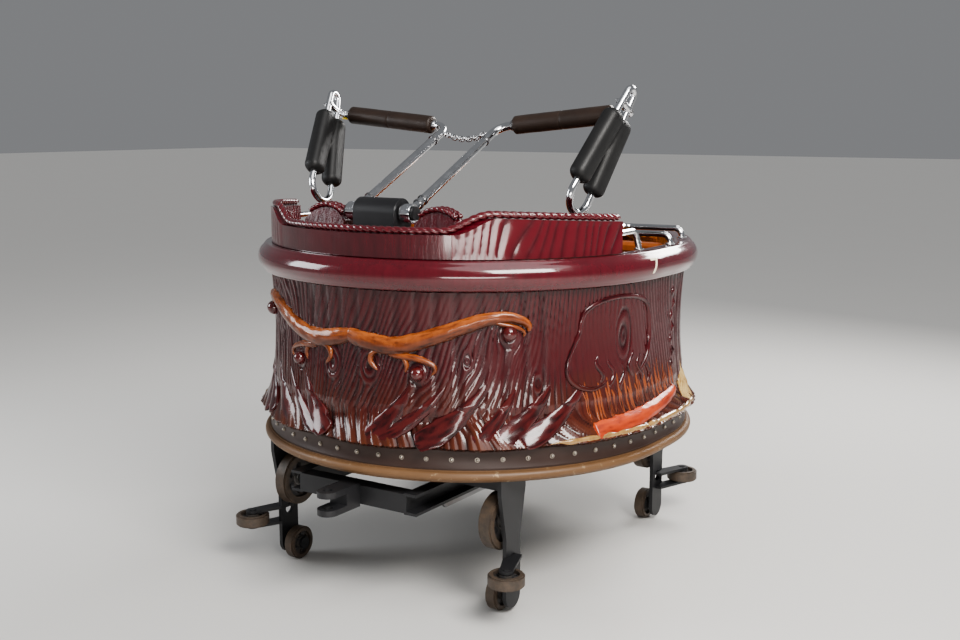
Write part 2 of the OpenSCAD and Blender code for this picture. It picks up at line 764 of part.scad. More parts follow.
// The chain that hangs between the two arms, each link turned a quarter from the last.
// Its links stand on an arc, and wires that cross keep the usual gap.
chain_links = 11;
chain_sag = 22;
module chain() {
    crossing = 2 * chain_r + 1.6 * fit;
    link_r = chain_r + 6;
    end_x = eye_at[0] - eye_r;
    arc_r = (end_x * end_x + chain_sag * chain_sag) / (2 * chain_sag);
    step = (2 * asin(end_x / arc_r) + crossing / arc_r * 180 / PI) / chain_links;
    half = (2 * arc_r * tan(step / 2) + crossing) / 2;
    color("silver") above_base() for (i = [0:chain_links - 1]) {
        q = (i - (chain_links - 1) / 2) * step;
        translate(eye_at) translate([arc_r * sin(q) - eye_at[0], 0, arc_r * (1 - cos(q)) - chain_sag])
            rotate([0, -q, 0]) rotate([i % 2 == 0 ? 90 : 0, 0, 0])
                tube([for (k = [0:9]) let (w = 36 * k + 18, e = cos(w) > 0 ? 1 : -1)
                    [e * (half - link_r) + link_r * cos(w) / cos(18), link_r * sin(w), 0]],
                    chain_r, closed = true, sides = 6);
    }
}

// Undercarriage

// Two channel rails under the axle beams, tied by cross members.
module chassis_frame() {
    flange = 12;
    tie_h = frame_h - 2 * tie_gap;
    color("#18181a") {
        both_sides() translate([frame_x - frame_w / 2, -frame_end, frame_bottom]) difference() {
            cube([frame_w, 2 * frame_end, frame_h]);
            translate([flange, -1, flange]) cube([frame_w, 2 * frame_end + 2, frame_h - 2 * flange]);
        }
        for (y = [-frame_end + tie_w / 2, -tie_y, tie_y, frame_end - tie_w / 2])
            translate([-frame_x + frame_w / 2, y - tie_w / 2, frame_bottom + tie_gap])
                cube([2 * frame_x - frame_w, tie_w, tie_h]);
    }
}

module axle_beams() {
    wall = 8;
    color("#18181a") for (s = [1, -1]) translate([0, s * axle_y, 0]) difference() {
        translate([-plate_x, -beam_w / 2, beam_bottom]) cube([2 * plate_x, beam_w, beam_h]);
        translate([-plate_x - 1, -beam_w / 2 + wall, beam_bottom + wall])
            cube([2 * plate_x + 2, beam_w - 2 * wall, beam_h - 2 * wall]);
    }
}

module drawbar() {
    root = frame_end;
    color("#18181a") translate([0, 0, coupling_z - eye_t / 2]) difference() {
        union() {
            linear_extrude(eye_t) polygon([[-70, root], [70, root], [38, coupling_y - 40], [38, coupling_y],
                [-38, coupling_y], [-38, coupling_y - 40]]);
            translate([0, coupling_y, 0]) cylinder(r = 45, h = eye_t);
        }
        translate([0, coupling_y, -1]) cylinder(r = coupling_r, h = eye_t + 2);
    }
}

module clevis() {
    ear = 25;
    h = eye_t + 6 + 2 * ear;
    color("#18181a") translate([0, 0, coupling_z - h / 2]) difference() {
        union() {
            translate([-45, -coupling_y, 0]) cube([90, coupling_y - frame_end, h]);
            translate([0, -coupling_y, 0]) cylinder(r = 45, h = h);
        }
        translate([-60, -coupling_y - 60, ear]) cube([120, 125, eye_t + 6]);
        translate([0, -coupling_y, -1]) cylinder(r = coupling_r, h = h + 2);
    }
}

// The fin that the track's brakes grip, hung from two cross members.
module brake_fin() {
    l = tie_y + tie_w / 2;
    top = frame_bottom + tie_gap;
    lead = 60;
    color("#55565a") across(-fin_t / 2, fin_t / 2) polygon([
        [-l, top], [-l, fin_bottom + lead], [-l + lead, fin_bottom],
        [l - lead, fin_bottom], [l, fin_bottom + lead], [l, top]
    ]);
}

// The drawing at one corner of the car, with its axle's middle as the origin along the car.
module at_corner(c) { on_side(c[0]) mirror([0, c[1] < 0 ? 1 : 0, 0]) translate([0, axle_y, 0]) children(); }

// A stub pin from the carrier's plate through a wheel, with its end cap and spacer.
module stub_pin(w) {
    cap_t = 10;
    inner = rail_x - w / 2 - 4 - cap_t;
    outer = rail_x + w / 2 + 4;
    translate([inner, 0, 0]) rotate([0, 90, 0]) {
        cylinder(r = pin_r, h = plate_x - inner);
        cylinder(r = pin_r + 12, h = cap_t);
    }
    translate([outer, 0, 0]) rotate([0, 90, 0]) cylinder(r = pin_r + 12, h = plate_x - outer);
}

// One wheel carrier: a plate outboard of the rail, with a pin for each of its three wheels.
module carrier(c) {
    lug = 12;
    foot_r = 55;
    color("#222226") at_corner(c) {
        translate([plate_x, 0, 0]) rotate([90, 0, 90]) linear_extrude(plate_t) difference() {
            union() {
                translate([0, small_r]) circle(foot_r);
                translate([-foot_r, small_r]) square([2 * foot_r, load_z - small_r]);
                polygon([[-foot_r, load_z - 60], [-95, base_z - 60], [-95, base_z], [95, base_z],
                    [95, base_z - 60], [foot_r, load_z - 60]]);
            }
            translate([0, (load_z + small_r) / 2]) circle(26);
        }
        translate([0, 0, load_z]) stub_pin(load_w);
        translate([0, 0, small_r]) stub_pin(small_w);
        for (z = [rail_z + small_w / 2 + 4, rail_z - small_w / 2 - 4 - lug]) translate([0, 0, z])
            linear_extrude(lug) union() {
                polygon([[plate_x, -20], [plate_x + plate_t + 30, -20], [guide_x + 30, guide_y],
                    [guide_x - 30, guide_y], [plate_x, 50]]);
                translate([guide_x, guide_y]) circle(30);
            }
        translate([guide_x, guide_y, rail_z - small_w / 2 - 20]) cylinder(r = pin_r, h = small_w + 40);
    }
}

// A wheel about its own axis: a tread on a pierced steel hub with a bored boss.
module wheel(r, w) {
    web_r = (pin_r + 12 + r * 0.72) / 2;
    hole_r = (r * 0.72 - pin_r - 12) * 0.3;
    difference() {
        rotate_extrude() {
            translate([pin_r + run, -w / 2]) square([14, w]);
            translate([pin_r + 10, -w / 5]) square([r * 0.8 - pin_r - 10, w * 0.4]);
            translate([r * 0.72, -w / 2]) square([r * 0.28 - 6, w]);
            translate([r - 7, -w / 2 + 6]) square([7, w - 12]);
        }
        for (k = [0:5]) rotate([0, 0, 60 * k]) translate([web_r, 0, -w])
            cylinder(r = hole_r, h = 2 * w, $fn = 32);
    }
}

module load_wheel(c) {
    color("#303034") at_corner(c) translate([rail_x, 0, load_z]) rotate([0, 90, 0]) wheel(load_r, load_w);
}

module upstop_wheel(c) {
    color("#303034") at_corner(c) translate([rail_x, 0, small_r]) rotate([0, 90, 0]) wheel(small_r, small_w);
}

module guide_wheel(c) {
    color("#303034") at_corner(c) translate([guide_x, guide_y, rail_z]) wheel(small_r, small_w);
}

base_rail();
base_ring();
root_skirt();
tub_wall();
wall_carvings();
rim();
floor_pan();
liner();
rear_deck();
seat_shell();
wings();
headrests();
rope_trim();
seat_cushions();
back_cushions();
front_deck();
grab_bars();
pivot_block();
chassis_frame();
axle_beams();
drawbar();
clevis();
brake_fin();
for (c = CORNERS) {
    carrier(c);
    load_wheel(c);
    guide_wheel(c);
    upstop_wheel(c);
}
for (s = SIDES) {
    restraint(s[0]);
    lap_pad(s[0]);
    bolster_pads(s[0]);
}
chain();
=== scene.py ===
"""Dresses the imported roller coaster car.

The frame brings every hard part at its real size. This script carves and glazes the tub, twists
its rope mouldings, upholsters the seats, moulds the restraints' foam, and gives each part of the
steelwork its finish, on a pale studio floor. Lengths are metres unless a name says otherwise.
"""

import logging
import math
from collections.abc import Callable, Sequence
from dataclasses import dataclass, field
from enum import Enum

import bmesh
import bpy
from mathutils import Matrix, Vector, noise

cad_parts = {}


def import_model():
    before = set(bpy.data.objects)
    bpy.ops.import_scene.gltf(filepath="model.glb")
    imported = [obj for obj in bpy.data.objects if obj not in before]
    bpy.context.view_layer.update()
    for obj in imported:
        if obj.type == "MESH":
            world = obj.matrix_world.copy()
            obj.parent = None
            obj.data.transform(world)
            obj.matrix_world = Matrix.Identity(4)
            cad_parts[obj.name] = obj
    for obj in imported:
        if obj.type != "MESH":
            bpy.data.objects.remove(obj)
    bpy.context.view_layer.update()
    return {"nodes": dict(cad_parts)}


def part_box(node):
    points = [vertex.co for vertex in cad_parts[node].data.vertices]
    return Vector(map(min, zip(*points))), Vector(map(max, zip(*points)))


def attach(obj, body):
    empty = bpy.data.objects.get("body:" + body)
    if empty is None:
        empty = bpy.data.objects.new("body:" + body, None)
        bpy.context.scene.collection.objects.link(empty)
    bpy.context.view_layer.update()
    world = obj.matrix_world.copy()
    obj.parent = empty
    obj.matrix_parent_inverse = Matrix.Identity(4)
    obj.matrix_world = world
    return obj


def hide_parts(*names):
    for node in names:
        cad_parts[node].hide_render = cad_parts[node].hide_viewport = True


LOG = logging.getLogger("coaster_car")
TAU = 2 * math.pi
RIGHT, FORWARD, UP = Vector((1, 0, 0)), Vector((0, 1, 0)), Vector((0, 0, 1))

Point = Vector
Colour = tuple[float, float, float]
Section = Callable[[float, float], tuple[float, float]]


# Shader maths.


class Wire:
    """One output of a shader node, with arithmetic that adds Math nodes to its bench."""

    def __init__(self, bench: "Bench", socket: bpy.types.NodeSocket) -> None:
        """Keeps the socket and the bench that it belongs to."""
        self.bench = bench
        self.socket = socket

    def _math(self, operation: str, *values: "Wire | float") -> "Wire":
        """Adds one Math node over the values."""
        return self.bench.node("ShaderNodeMath", {"operation": operation}, list(values))

    def __add__(self, other: "Wire | float") -> "Wire":
        """Adds."""
        return self._math("ADD", self, other)

    __radd__ = __add__

    def __sub__(self, other: "Wire | float") -> "Wire":
        """Subtracts."""
        return self._math("SUBTRACT", self, other)

    def __rsub__(self, other: "Wire | float") -> "Wire":
        """Subtracts from a number."""
        return self._math("SUBTRACT", other, self)

    def __mul__(self, other: "Wire | float") -> "Wire":
        """Multiplies."""
        return self._math("MULTIPLY", self, other)

    def sine(self) -> "Wire":
        """Takes the sine."""
        return self._math("SINE", self)

    def between(self, low: float, high: float) -> "Wire":
        """Maps low..high to 0..1 and clamps it."""
        return self.bench.node("ShaderNodeMapRange", {"clamp": True}, [self, low, high, 0.0, 1.0])


class Bench:
    """A material's node tree, with one method that adds any node."""

    def __init__(self, name: str) -> None:
        """Starts an empty material of that name."""
        self.material = bpy.data.materials.new(name)
        self.material.use_nodes = True
        self.tree = self.material.node_tree
        self.tree.nodes.clear()

    def node(
        self,
        kind: str,
        settings: dict[str, object] | None = None,
        values: Sequence[object] | dict[str, object] = (),
        out: int | str = 0,
    ) -> Wire:
        """Adds a node.

        Args:
            kind: The node's Blender type.
            settings: Its own settings, which are set first.
            values: Its sockets' values or wires, in order or by name. None leaves a socket alone.
            out: The output that is wanted.

        Returns:
            That output.
        """
        made = self.tree.nodes.new(kind)
        for key, value in (settings or {}).items():
            setattr(made, key, value)
        pairs = values.items() if isinstance(values, dict) else enumerate(values)
        for key, value in pairs:
            if isinstance(value, Wire):
                self.tree.links.new(value.socket, made.inputs[key])
            elif value is not None:
                made.inputs[key].default_value = value
        return Wire(self, made.outputs[out])

    def ramp(self, fac: Wire, stops: Sequence[tuple[float, Colour]]) -> Wire:
        """Adds a colour ramp.

        Args:
            fac: What it reads.
            stops: Its places and colours, lowest first.

        Returns:
            Its colour.
        """
        made = self.tree.nodes.new("ShaderNodeValToRGB")
        band = made.color_ramp
        while len(band.elements) < len(stops):
            band.elements.new(0.5)
        for element, (place, colour) in zip(band.elements, stops):
            element.position = place
            element.color = (*colour, 1.0)
        self.tree.links.new(fac.socket, made.inputs["Fac"])
        return Wire(self, made.outputs["Color"])

    def mix(self, fac: Wire | float, a: Wire | Colour, b: Wire | Colour) -> Wire:
        """Mixes two colours by fac."""
        first, second = (value if isinstance(value, Wire) else (*value, 1.0) for value in (a, b))
        return self.node("ShaderNodeMix", {"data_type": "RGBA"}, {0: fac, 6: first, 7: second}, 2)

    def place(self, scale: Sequence[float] = (1, 1, 1), centre: Sequence[float] = (0, 0, 0)) -> Wire:
        """Reads Object coordinates, taken from a centre and scaled."""
        read = self.node("ShaderNodeTexCoord", out="Object")
        moved = [-c * s for c, s in zip(centre, scale)]
        return self.node("ShaderNodeMapping", {}, {"Vector": read, "Location": moved, "Scale": list(scale)})

    def speckle(self, at: Wire, scale: float, detail: float = 3.0, rough: float = 0.55) -> Wire:
        """Reads a noise texture's value."""
        return self.node(
            "ShaderNodeTexNoise", {}, {"Vector": at, "Scale": scale, "Detail": detail, "Roughness": rough}
        )

    def cells(self, at: Wire, feature: str, scale: float) -> Wire:
        """Reads a cell texture's distance."""
        return self.node("ShaderNodeTexVoronoi", {"feature": feature}, {"Vector": at, "Scale": scale})

    def bump(self, height: Wire, distance: float, strength: float = 1.0, under: Wire | None = None) -> Wire:
        """Turns a height into a normal, over another normal if there is one."""
        values = {"Height": height, "Distance": distance, "Strength": strength, "Normal": under}
        return self.node("ShaderNodeBump", {}, values)

    def surface(self, **values: object) -> bpy.types.Material:
        """Ends the material in a Principled shader.

        Args:
            **values: Its sockets' values or wires, with words joined by underscores.

        Returns:
            The material.
        """
        named = {key.replace("_", " "): value for key, value in values.items()}
        for key, value in named.items():
            if isinstance(value, tuple) and len(value) == 3:
                named[key] = (*value, 1.0)
        shader = self.node("ShaderNodeBsdfPrincipled", {}, named)
        end = self.tree.nodes.new("ShaderNodeOutputMaterial")
        self.tree.links.new(shader.socket, end.inputs["Surface"])
        return self.material


# Finishes.


class Axle(Enum):
    """The direction that a wheel turns about."""

    ACROSS = (0.0, 1.0, 1.0)
    UPRIGHT = (1.0, 1.0, 0.0)


@dataclass(frozen=True)
class Gelcoat:
    """Thick glossy glass fibre, with a darker glaze that lies in its hollows."""

    name: str
    body: Colour
    hollow: Colour
    high: Colour
    rough: float = 0.16
    grain: float = 0.0
    carved: bool = False
    worn: Colour | None = None
    worn_top: float = 0.0

    def make(self) -> bpy.types.Material:
        """Builds the material.

        Returns:
            A coated shader whose colour follows the carving, or the grain where nothing is carved.
        """
        bench = Bench(self.name)
        at = bench.place()
        cloud = bench.speckle(at, 5.0, 4.0)
        fine = bench.speckle(bench.place((46, 46, 5)), 1.0, 5.0, 0.62)
        if self.carved:
            relief = bench.node("ShaderNodeAttribute", {"attribute_name": "carve"}, out="Fac")
        else:
            relief = fine * 0.5 + cloud * 0.5
        depth = (relief + (fine - 0.5) * 0.35).between(0.08, 0.95)
        colour = bench.ramp(depth, [(0.0, self.hollow), (0.55, self.body), (1.0, self.high)])
        if self.worn:
            height = bench.node("ShaderNodeSeparateXYZ", {}, [at], 2)
            low = 1.0 - (height + (cloud - 0.5) * 0.22).between(self.worn_top - 0.28, self.worn_top)
            colour = bench.mix(low * depth * 0.8, colour, self.worn)
        height_map = fine if self.grain else bench.speckle(at, 90.0, 2.0)
        normal = bench.bump(height_map, 0.0025 if self.grain else 0.0004, max(self.grain, 0.25))
        rough = (bench.speckle(at, 14.0, 4.0) - 0.5) * 0.22 + self.rough + (1.0 - depth) * 0.10
        return bench.surface(
            Base_Color=colour,
            Roughness=rough,
            Normal=normal,
            Coat_Weight=0.45 if self.carved else 0.85,
            Coat_Roughness=0.07,
            IOR=1.42 if self.carved else 1.5,
        )


@dataclass(frozen=True)
class Plated:
    """Polished chrome plate, smudged by hands."""

    name: str
    tint: Colour = (0.80, 0.81, 0.83)
    rough: float = 0.07

    def make(self) -> bpy.types.Material:
        """Builds the material."""
        bench = Bench(self.name)
        at = bench.place()
        smudge = bench.speckle(at, 22.0, 5.0, 0.7)
        wipe = bench.speckle(bench.place((160, 30, 30)), 1.0, 3.0)
        colour = bench.ramp(smudge, [(0.25, tuple(0.86 * v for v in self.tint)), (0.7, self.tint)])
        rough = self.rough + (smudge - 0.35).between(0.0, 0.5) * 0.14 + wipe * 0.03
        return bench.surface(
            Base_Color=colour, Roughness=rough, Metallic=1.0, Normal=bench.bump(wipe, 0.0002, 0.2)
        )


@dataclass(frozen=True)
class Foam:
    """Moulded foam with a soft rubbery skin, rubbed shiny on its high places."""

    name: str
    body: Colour
    rubbed: Colour
    rough: float

    def make(self) -> bpy.types.Material:
        """Builds the material."""
        bench = Bench(self.name)
        at = bench.place()
        wear = bench.speckle(at, 9.0, 6.0, 0.65)
        pores = bench.cells(at, "F1", 420.0)
        colour = bench.ramp(wear, [(0.3, self.body), (0.75, self.rubbed)])
        skin = bench.bump(pores, 0.0006, 0.35)
        normal = bench.bump(wear, 0.002, 0.3, skin)
        rough = self.rough + 0.12 - wear * 0.3
        return bench.surface(Base_Color=colour, Roughness=rough, Normal=normal, Specular_IOR_Level=0.4)


@dataclass(frozen=True)
class Vinyl:
    """Grained seat vinyl, creased and polished where riders sit."""

    name: str
    body: Colour
    rubbed: Colour

    def make(self) -> bpy.types.Material:
        """Builds the material."""
        bench = Bench(self.name)
        at = bench.place()
        cells = bench.cells(at, "DISTANCE_TO_EDGE", 260.0)
        folds = bench.speckle(bench.place((9, 9, 16)), 1.0, 5.0, 0.6)
        worn = bench.speckle(at, 3.5, 5.0)
        colour = bench.mix(worn.between(0.4, 0.75), self.body, self.rubbed)
        grain = bench.bump(cells.between(0.0, 0.12), 0.0007, 0.5)
        normal = bench.bump(folds, 0.006, 0.35, grain)
        rough = 0.5 - worn * 0.22
        return bench.surface(Base_Color=colour, Roughness=rough, Normal=normal, Specular_IOR_Level=0.45)


@dataclass(frozen=True)
class Paint:
    """Industrial paint with dust on it, chipped to a second colour."""

    name: str
    body: Colour
    chip: Colour
    rough: float
    chips: float

    def make(self) -> bpy.types.Material:
        """Builds the material."""
        bench = Bench(self.name)
        at = bench.place()
        wear = bench.speckle(at, 24.0, 8.0, 0.7)
        dust = bench.speckle(at, 3.0, 4.0)
        bare = wear.between(self.chips, self.chips + 0.06)
        pale = tuple(min(1, 2.2 * v + 0.03) for v in self.body)
        dusty = bench.mix(dust.between(0.35, 0.8) * 0.35, self.body, pale)
        colour = bench.mix(bare * 0.8, dusty, self.chip)
        normal = bench.bump(wear, 0.0012, 0.3)
        rough = self.rough + dust * 0.18
        return bench.surface(Base_Color=colour, Roughness=rough, Normal=normal, Metallic=bare * 0.5)


@dataclass(frozen=True)
class BrushedSteel:
    """Bare steel, scoured along one direction."""

    name: str
    tint: Colour
    along: tuple[float, float, float] = (40, 2, 160)

    def make(self) -> bpy.types.Material:
        """Builds the material."""
        bench = Bench(self.name)
        score = bench.speckle(bench.place(self.along), 1.0, 6.0, 0.7)
        stain = bench.speckle(bench.place(), 6.0, 4.0)
        colour = bench.mix(stain.between(0.45, 0.8) * 0.6, self.tint, (0.16, 0.11, 0.07))
        normal = bench.bump(score, 0.0006, 0.5)
        return bench.surface(Base_Color=colour, Roughness=0.28 + score * 0.25, Metallic=0.95, Normal=normal)


@dataclass(frozen=True)
class Tyred:
    """A wheel in one piece: urethane tread, dark hub and a greasy bright boss."""

    name: str
    centre: tuple[float, float, float]
    axle: Axle
    radius: float

    def make(self) -> bpy.types.Material:
        """Builds the material, in rings about the wheel's own axle."""
        bench = Bench(self.name)
        spoke = bench.place(self.axle.value, self.centre)
        away = bench.node("ShaderNodeVectorMath", {"operation": "LENGTH"}, [spoke], 1)
        at = bench.place()
        grime = bench.speckle(at, 30.0, 6.0, 0.7)
        tread = away.between(0.70 * self.radius, 0.73 * self.radius)
        boss = 1.0 - away.between(0.27 * self.radius, 0.30 * self.radius)
        hub = bench.mix(grime.between(0.4, 0.7), (0.035, 0.036, 0.04), (0.09, 0.075, 0.06))
        rubber = bench.mix(grime.between(0.35, 0.75), (0.085, 0.060, 0.042), (0.040, 0.033, 0.028))
        colour = bench.mix(boss, bench.mix(tread, hub, rubber), (0.30, 0.29, 0.28))
        return bench.surface(
            Base_Color=colour,
            Roughness=0.34 + grime * 0.3,
            Metallic=boss * 0.9,
            Normal=bench.bump(grime, 0.001, 0.3),
        )


@dataclass(frozen=True)
class RibbedMat:
    """A rubber mat with fine ribs along the car."""

    name: str
    body: Colour = (0.022, 0.021, 0.022)
    pitch: float = 0.012

    def make(self) -> bpy.types.Material:
        """Builds the material."""
        bench = Bench(self.name)
        at = bench.place()
        across = bench.node("ShaderNodeSeparateXYZ", {}, [at], 0)
        ribs = (across * (TAU / self.pitch)).sine()
        dirt = bench.speckle(at, 8.0, 6.0, 0.65)
        colour = bench.mix(dirt.between(0.45, 0.75), self.body, (0.09, 0.07, 0.05))
        rough = 0.62 + dirt * 0.2
        return bench.surface(Base_Color=colour, Roughness=rough, Normal=bench.bump(ribs, 0.0015, 0.6))


@dataclass(frozen=True)
class StudioFloor:
    """The plain pale floor."""

    name: str = "studio_floor"
    tone: Colour = (0.62, 0.61, 0.59)

    def make(self) -> bpy.types.Material:
        """Builds the material."""
        bench = Bench(self.name)
        haze = bench.speckle(bench.place(), 1.2, 3.0)
        colour = bench.mix(haze * 0.12, self.tone, (0.5, 0.5, 0.49))
        return bench.surface(Base_Color=colour, Roughness=0.75)


# Modelling.


class Blank:
    """A bmesh that is worked up into one finished piece."""

    def __init__(self, name: str) -> None:
        """Starts an empty bmesh for the piece of that name."""
        self.name = name
        self.bm = bmesh.new()
        self.carve = self.bm.verts.layers.float.new("carve")

    def wrap(
        self,
        across: int,
        along: int,
        shape: Callable[[float, float], Point | tuple[Point, float]],
        round_across: bool = False,
        round_along: bool = False,
        capped: bool = False,
    ) -> "Blank":
        """Lays a grid over a shape.

        Args:
            across: The grid's steps in its first direction.
            along: Its steps in the second.
            shape: Gives the point at the two shares from 0 to 1, and its carve value where it has one.
            round_across: Whether the first direction runs back into its start.
            round_along: Whether the second does.
            capped: Whether the openings that are left are closed by faces.

        Returns:
            The blank itself.
        """
        grid = bmesh.ops.create_grid(self.bm, x_segments=across, y_segments=along, size=1.0)
        verts = grid["verts"]
        for vert in verts:
            u = round((vert.co.x + 1) / 2 * across) / across
            v = round((vert.co.y + 1) / 2 * along) / along
            placed = shape(u % 1.0 if round_across else u, v % 1.0 if round_along else v)
            if isinstance(placed, tuple):
                placed, vert[self.carve] = placed
            vert.co = placed
        if round_across or round_along:
            bmesh.ops.remove_doubles(self.bm, verts=verts, dist=1e-6)
        if capped:
            bmesh.ops.holes_fill(self.bm, edges=[e for e in self.bm.edges if e.is_boundary], sides=0)
        return self

    def sweep(
        self,
        path: Sequence[Point],
        section: Section,
        sides: int,
        closed: bool = False,
        up: Point | None = None,
    ) -> "Blank":
        """Sweeps a section along a path.

        Args:
            path: The points that the section's middle follows.
            section: Gives the section's two offsets at the share round it and the share along.
            sides: The faces round the section.
            closed: Whether the path runs back into its start.
            up: A direction that the section's second offset leans to, for flat sections.

        Returns:
            The blank itself.
        """
        steps = len(path) if closed else len(path) - 1
        frames = frames_along(path, closed, up)

        def shape(u: float, v: float) -> Point:
            """Gives one point of the sweep."""
            i = round(v * steps) % len(path)
            a, b = section(u, i / steps)
            side, lift = frames[i]
            return path[i] + side * a + lift * b

        return self.wrap(sides, steps, shape, round_across=True, round_along=closed, capped=not closed)

    def finish(
        self,
        material: bpy.types.Material,
        body: str = "root",
        slot: str | None = None,
        sharp_deg: float = 40.0,
        outward: bool = True,
    ) -> bpy.types.Object:
        """Turns the blank into an object of the scene.

        Args:
            material: Its finish.
            body: The body that it rides on.
            slot: Not used.
            sharp_deg: Edges that turn more than this stay sharp.
            outward: Whether the faces are turned outwards first.

        Returns:
            The piece.
        """
        if outward:
            bmesh.ops.recalc_face_normals(self.bm, faces=self.bm.faces)
        for face in self.bm.faces:
            face.smooth = True
        mesh = bpy.data.meshes.new(self.name)
        self.bm.to_mesh(mesh)
        self.bm.free()
        mesh.set_sharp_from_angle(angle=math.radians(sharp_deg))
        mesh.materials.append(material)
        piece = bpy.data.objects.new(self.name, mesh)
        bpy.context.scene.collection.objects.link(piece)
        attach(piece, body)
        LOG.info("%s: %d faces on %s", self.name, len(mesh.polygons), body)
        return piece


def frames_along(path: Sequence[Point], closed: bool, up: Point | None) -> list[tuple[Point, Point]]:
    """Works out two directions square to a path at each of its points.

    Args:
        path: The path's points.
        closed: Whether it runs back into its start.
        up: A direction that the second leans to. Without it, the frames turn as little as they can.

    Returns:
        The two directions at each point.
    """
    n = len(path)
    frames = []
    side = None
    for i in range(n):
        before = path[(i - 1) % n] if closed or i else path[0]
        after = path[(i + 1) % n] if closed or i < n - 1 else path[-1]
        ahead = (after - before).normalized()
        if up is not None:
            side = up.cross(ahead).normalized()
        else:
            if side is None:
                side = RIGHT if abs(ahead.x) < 0.9 else UP
            side = (side - ahead * side.dot(ahead)).normalized()
        frames.append((side, ahead.cross(side).normalized()))
    return frames


def round_section(radius: float) -> Section:
    """Gives a plain round section of one radius."""
    return lambda u, v: (radius * math.cos(TAU * u), radius * math.sin(TAU * u))


def bent(points: Sequence[Point], bend: float, steps: int) -> list[Point]:
    """Rounds the corners of a path.

    Args:
        points: Its corners.
        bend: The bend radius.
        steps: The pieces of each bend.

    Returns:
        The rounded path.
    """
    path = [points[0]]
    for a, b, c in zip(points, points[1:], points[2:]):
        u, v = (b - a).normalized(), (c - b).normalized()
        turn = u.angle(v)
        out = (u * u.dot(v) - v).normalized()
        centre = b - u * bend * math.tan(turn / 2) - out * bend
        for i in range(steps + 1):
            q = turn * i / steps
            path.append(centre + (out * math.cos(q) + u * math.sin(q)) * bend)
    path.append(points[-1])
    return path


def divided(path: Sequence[Point], step: float) -> list[Point]:
    """Cuts a path into equal steps of about that length."""
    lengths = [(b - a).length for a, b in zip(path, path[1:])]
    count = max(2, round(sum(lengths) / step))
    wanted = sum(lengths) / count
    points, done, i = [path[0].copy()], 0.0, 0
    for k in range(1, count):
        target = wanted * k
        while i < len(lengths) - 1 and done + lengths[i] < target:
            done += lengths[i]
            i += 1
        points.append(path[i].lerp(path[i + 1], (target - done) / lengths[i]))
    points.append(path[-1].copy())
    return points


def strand(share: float, sharp: float = 0.6) -> float:
    """Gives the height of a round strand, from 0 in the grooves beside it to 1 on its back."""
    return abs(math.sin(math.pi * share)) ** sharp


def near(x: float, middle: float, reach: float) -> float:
    """Is 1 within reach of the middle, and 0 away from it."""
    return math.exp(-(((x - middle) / reach) ** 4))


def blob(blank: Blank, at: Point, radii: Sequence[float], cuts: int) -> None:
    """Adds a ball of three radii to a blank.

    Args:
        blank: What it is added to.
        at: Its middle.
        radii: Its three radii.
        cuts: The steps round it.
    """
    place = Matrix.Translation(at) @ Matrix.Diagonal((*radii, 1.0))
    rings = max(6, cuts // 2)
    bmesh.ops.create_uvsphere(blank.bm, u_segments=cuts, v_segments=rings, radius=1.0, matrix=place)


def drum(blank: Blank, a: Point, b: Point, radius: float, sides: int, bevel: float = 0.0) -> None:
    """Adds a round bar between two points to a blank.

    Args:
        blank: What it is added to.
        a: One end.
        b: The other.
        radius: The bar's radius.
        sides: The faces round it.
        bevel: How far its two edges are broken.
    """
    way = b - a
    turn = way.to_track_quat("Z", "Y").to_matrix().to_4x4()
    made = bmesh.ops.create_cone(
        blank.bm,
        cap_ends=True,
        segments=sides,
        radius1=radius,
        radius2=radius,
        depth=way.length,
        matrix=Matrix.Translation((a + b) / 2) @ turn,
    )
    if bevel:
        edges = {edge for vert in made["verts"] for edge in vert.link_edges if len(edge.link_faces) == 2}
        ends = [edge for edge in edges if max(len(face.verts) for face in edge.link_faces) > 4]
        bmesh.ops.bevel(blank.bm, geom=ends, offset=bevel, segments=2, affect="EDGES")


# The tub.

SIDES = (("right", False), ("left", True))
MM = 1000  # Millimetres in a metre
FLARE = 2.1  # The power that the foot flares by
RIM_TUBE = 0.065  # The radius of the rim's round section
RIM_WIDTH = 0.115
WALL_FLARE = 0.014  # How far the wall's ends stand out from its waist
INNER_GAP = 0.001  # Between a carved piece's inner face and the lining
ROUND_STEPS = 1400  # Faces round the carved wall and foot
CARVED_DEG, GLAZED_DEG = 60, 70  # Edges that turn more than this stay sharp

# A place of a raised carving's middle line: way round or degrees, height, half width and rise.
Stroke = tuple[float, float, float, float]

# The carvings on the wall, drawn in degrees round it and in millimetres on a wall 464 mm tall. Heights
# are counted from its waist.
DRAWN_HALF = 0.232
BRANCH = (
    (91.2, 46, 26, 10), (87, 28, 37, 22), (81, 12, 41, 27), (76, 12, 40, 28), (70.5, 32, 38, 28),
    (64.5, 64, 36, 27), (58.5, 98, 34, 26), (53, 124, 30, 25), (48, 132, 25, 23), (44.3, 118, 19, 20),
    (42.5, 94, 14, 16), (42.6, 72, 8, 11),
)
TWIG = (
    (52, 120, 14, 20), (49.6, 106, 13, 20), (47.2, 98, 11, 19), (44.8, 84, 9, 16), (43.6, 66, 7, 11),
    (43.9, 52, 5, 7),
)
KNOT_HOLE = (
    (81.5, -96, 8, 6), (83.5, -60, 12, 12), (82.5, -22, 14, 16), (78.5, -6, 14, 16), (75, -26, 13, 15),
    (73.4, -62, 11, 12), (73.8, -96, 8, 6),
)
OFFSHOOT = (
    (79, -18, 20, 16), (75, -28, 18, 18), (70.5, -38, 15, 16), (67, -58, 12, 13), (66, -82, 9, 10),
    (67, -104, 6, 7),
)
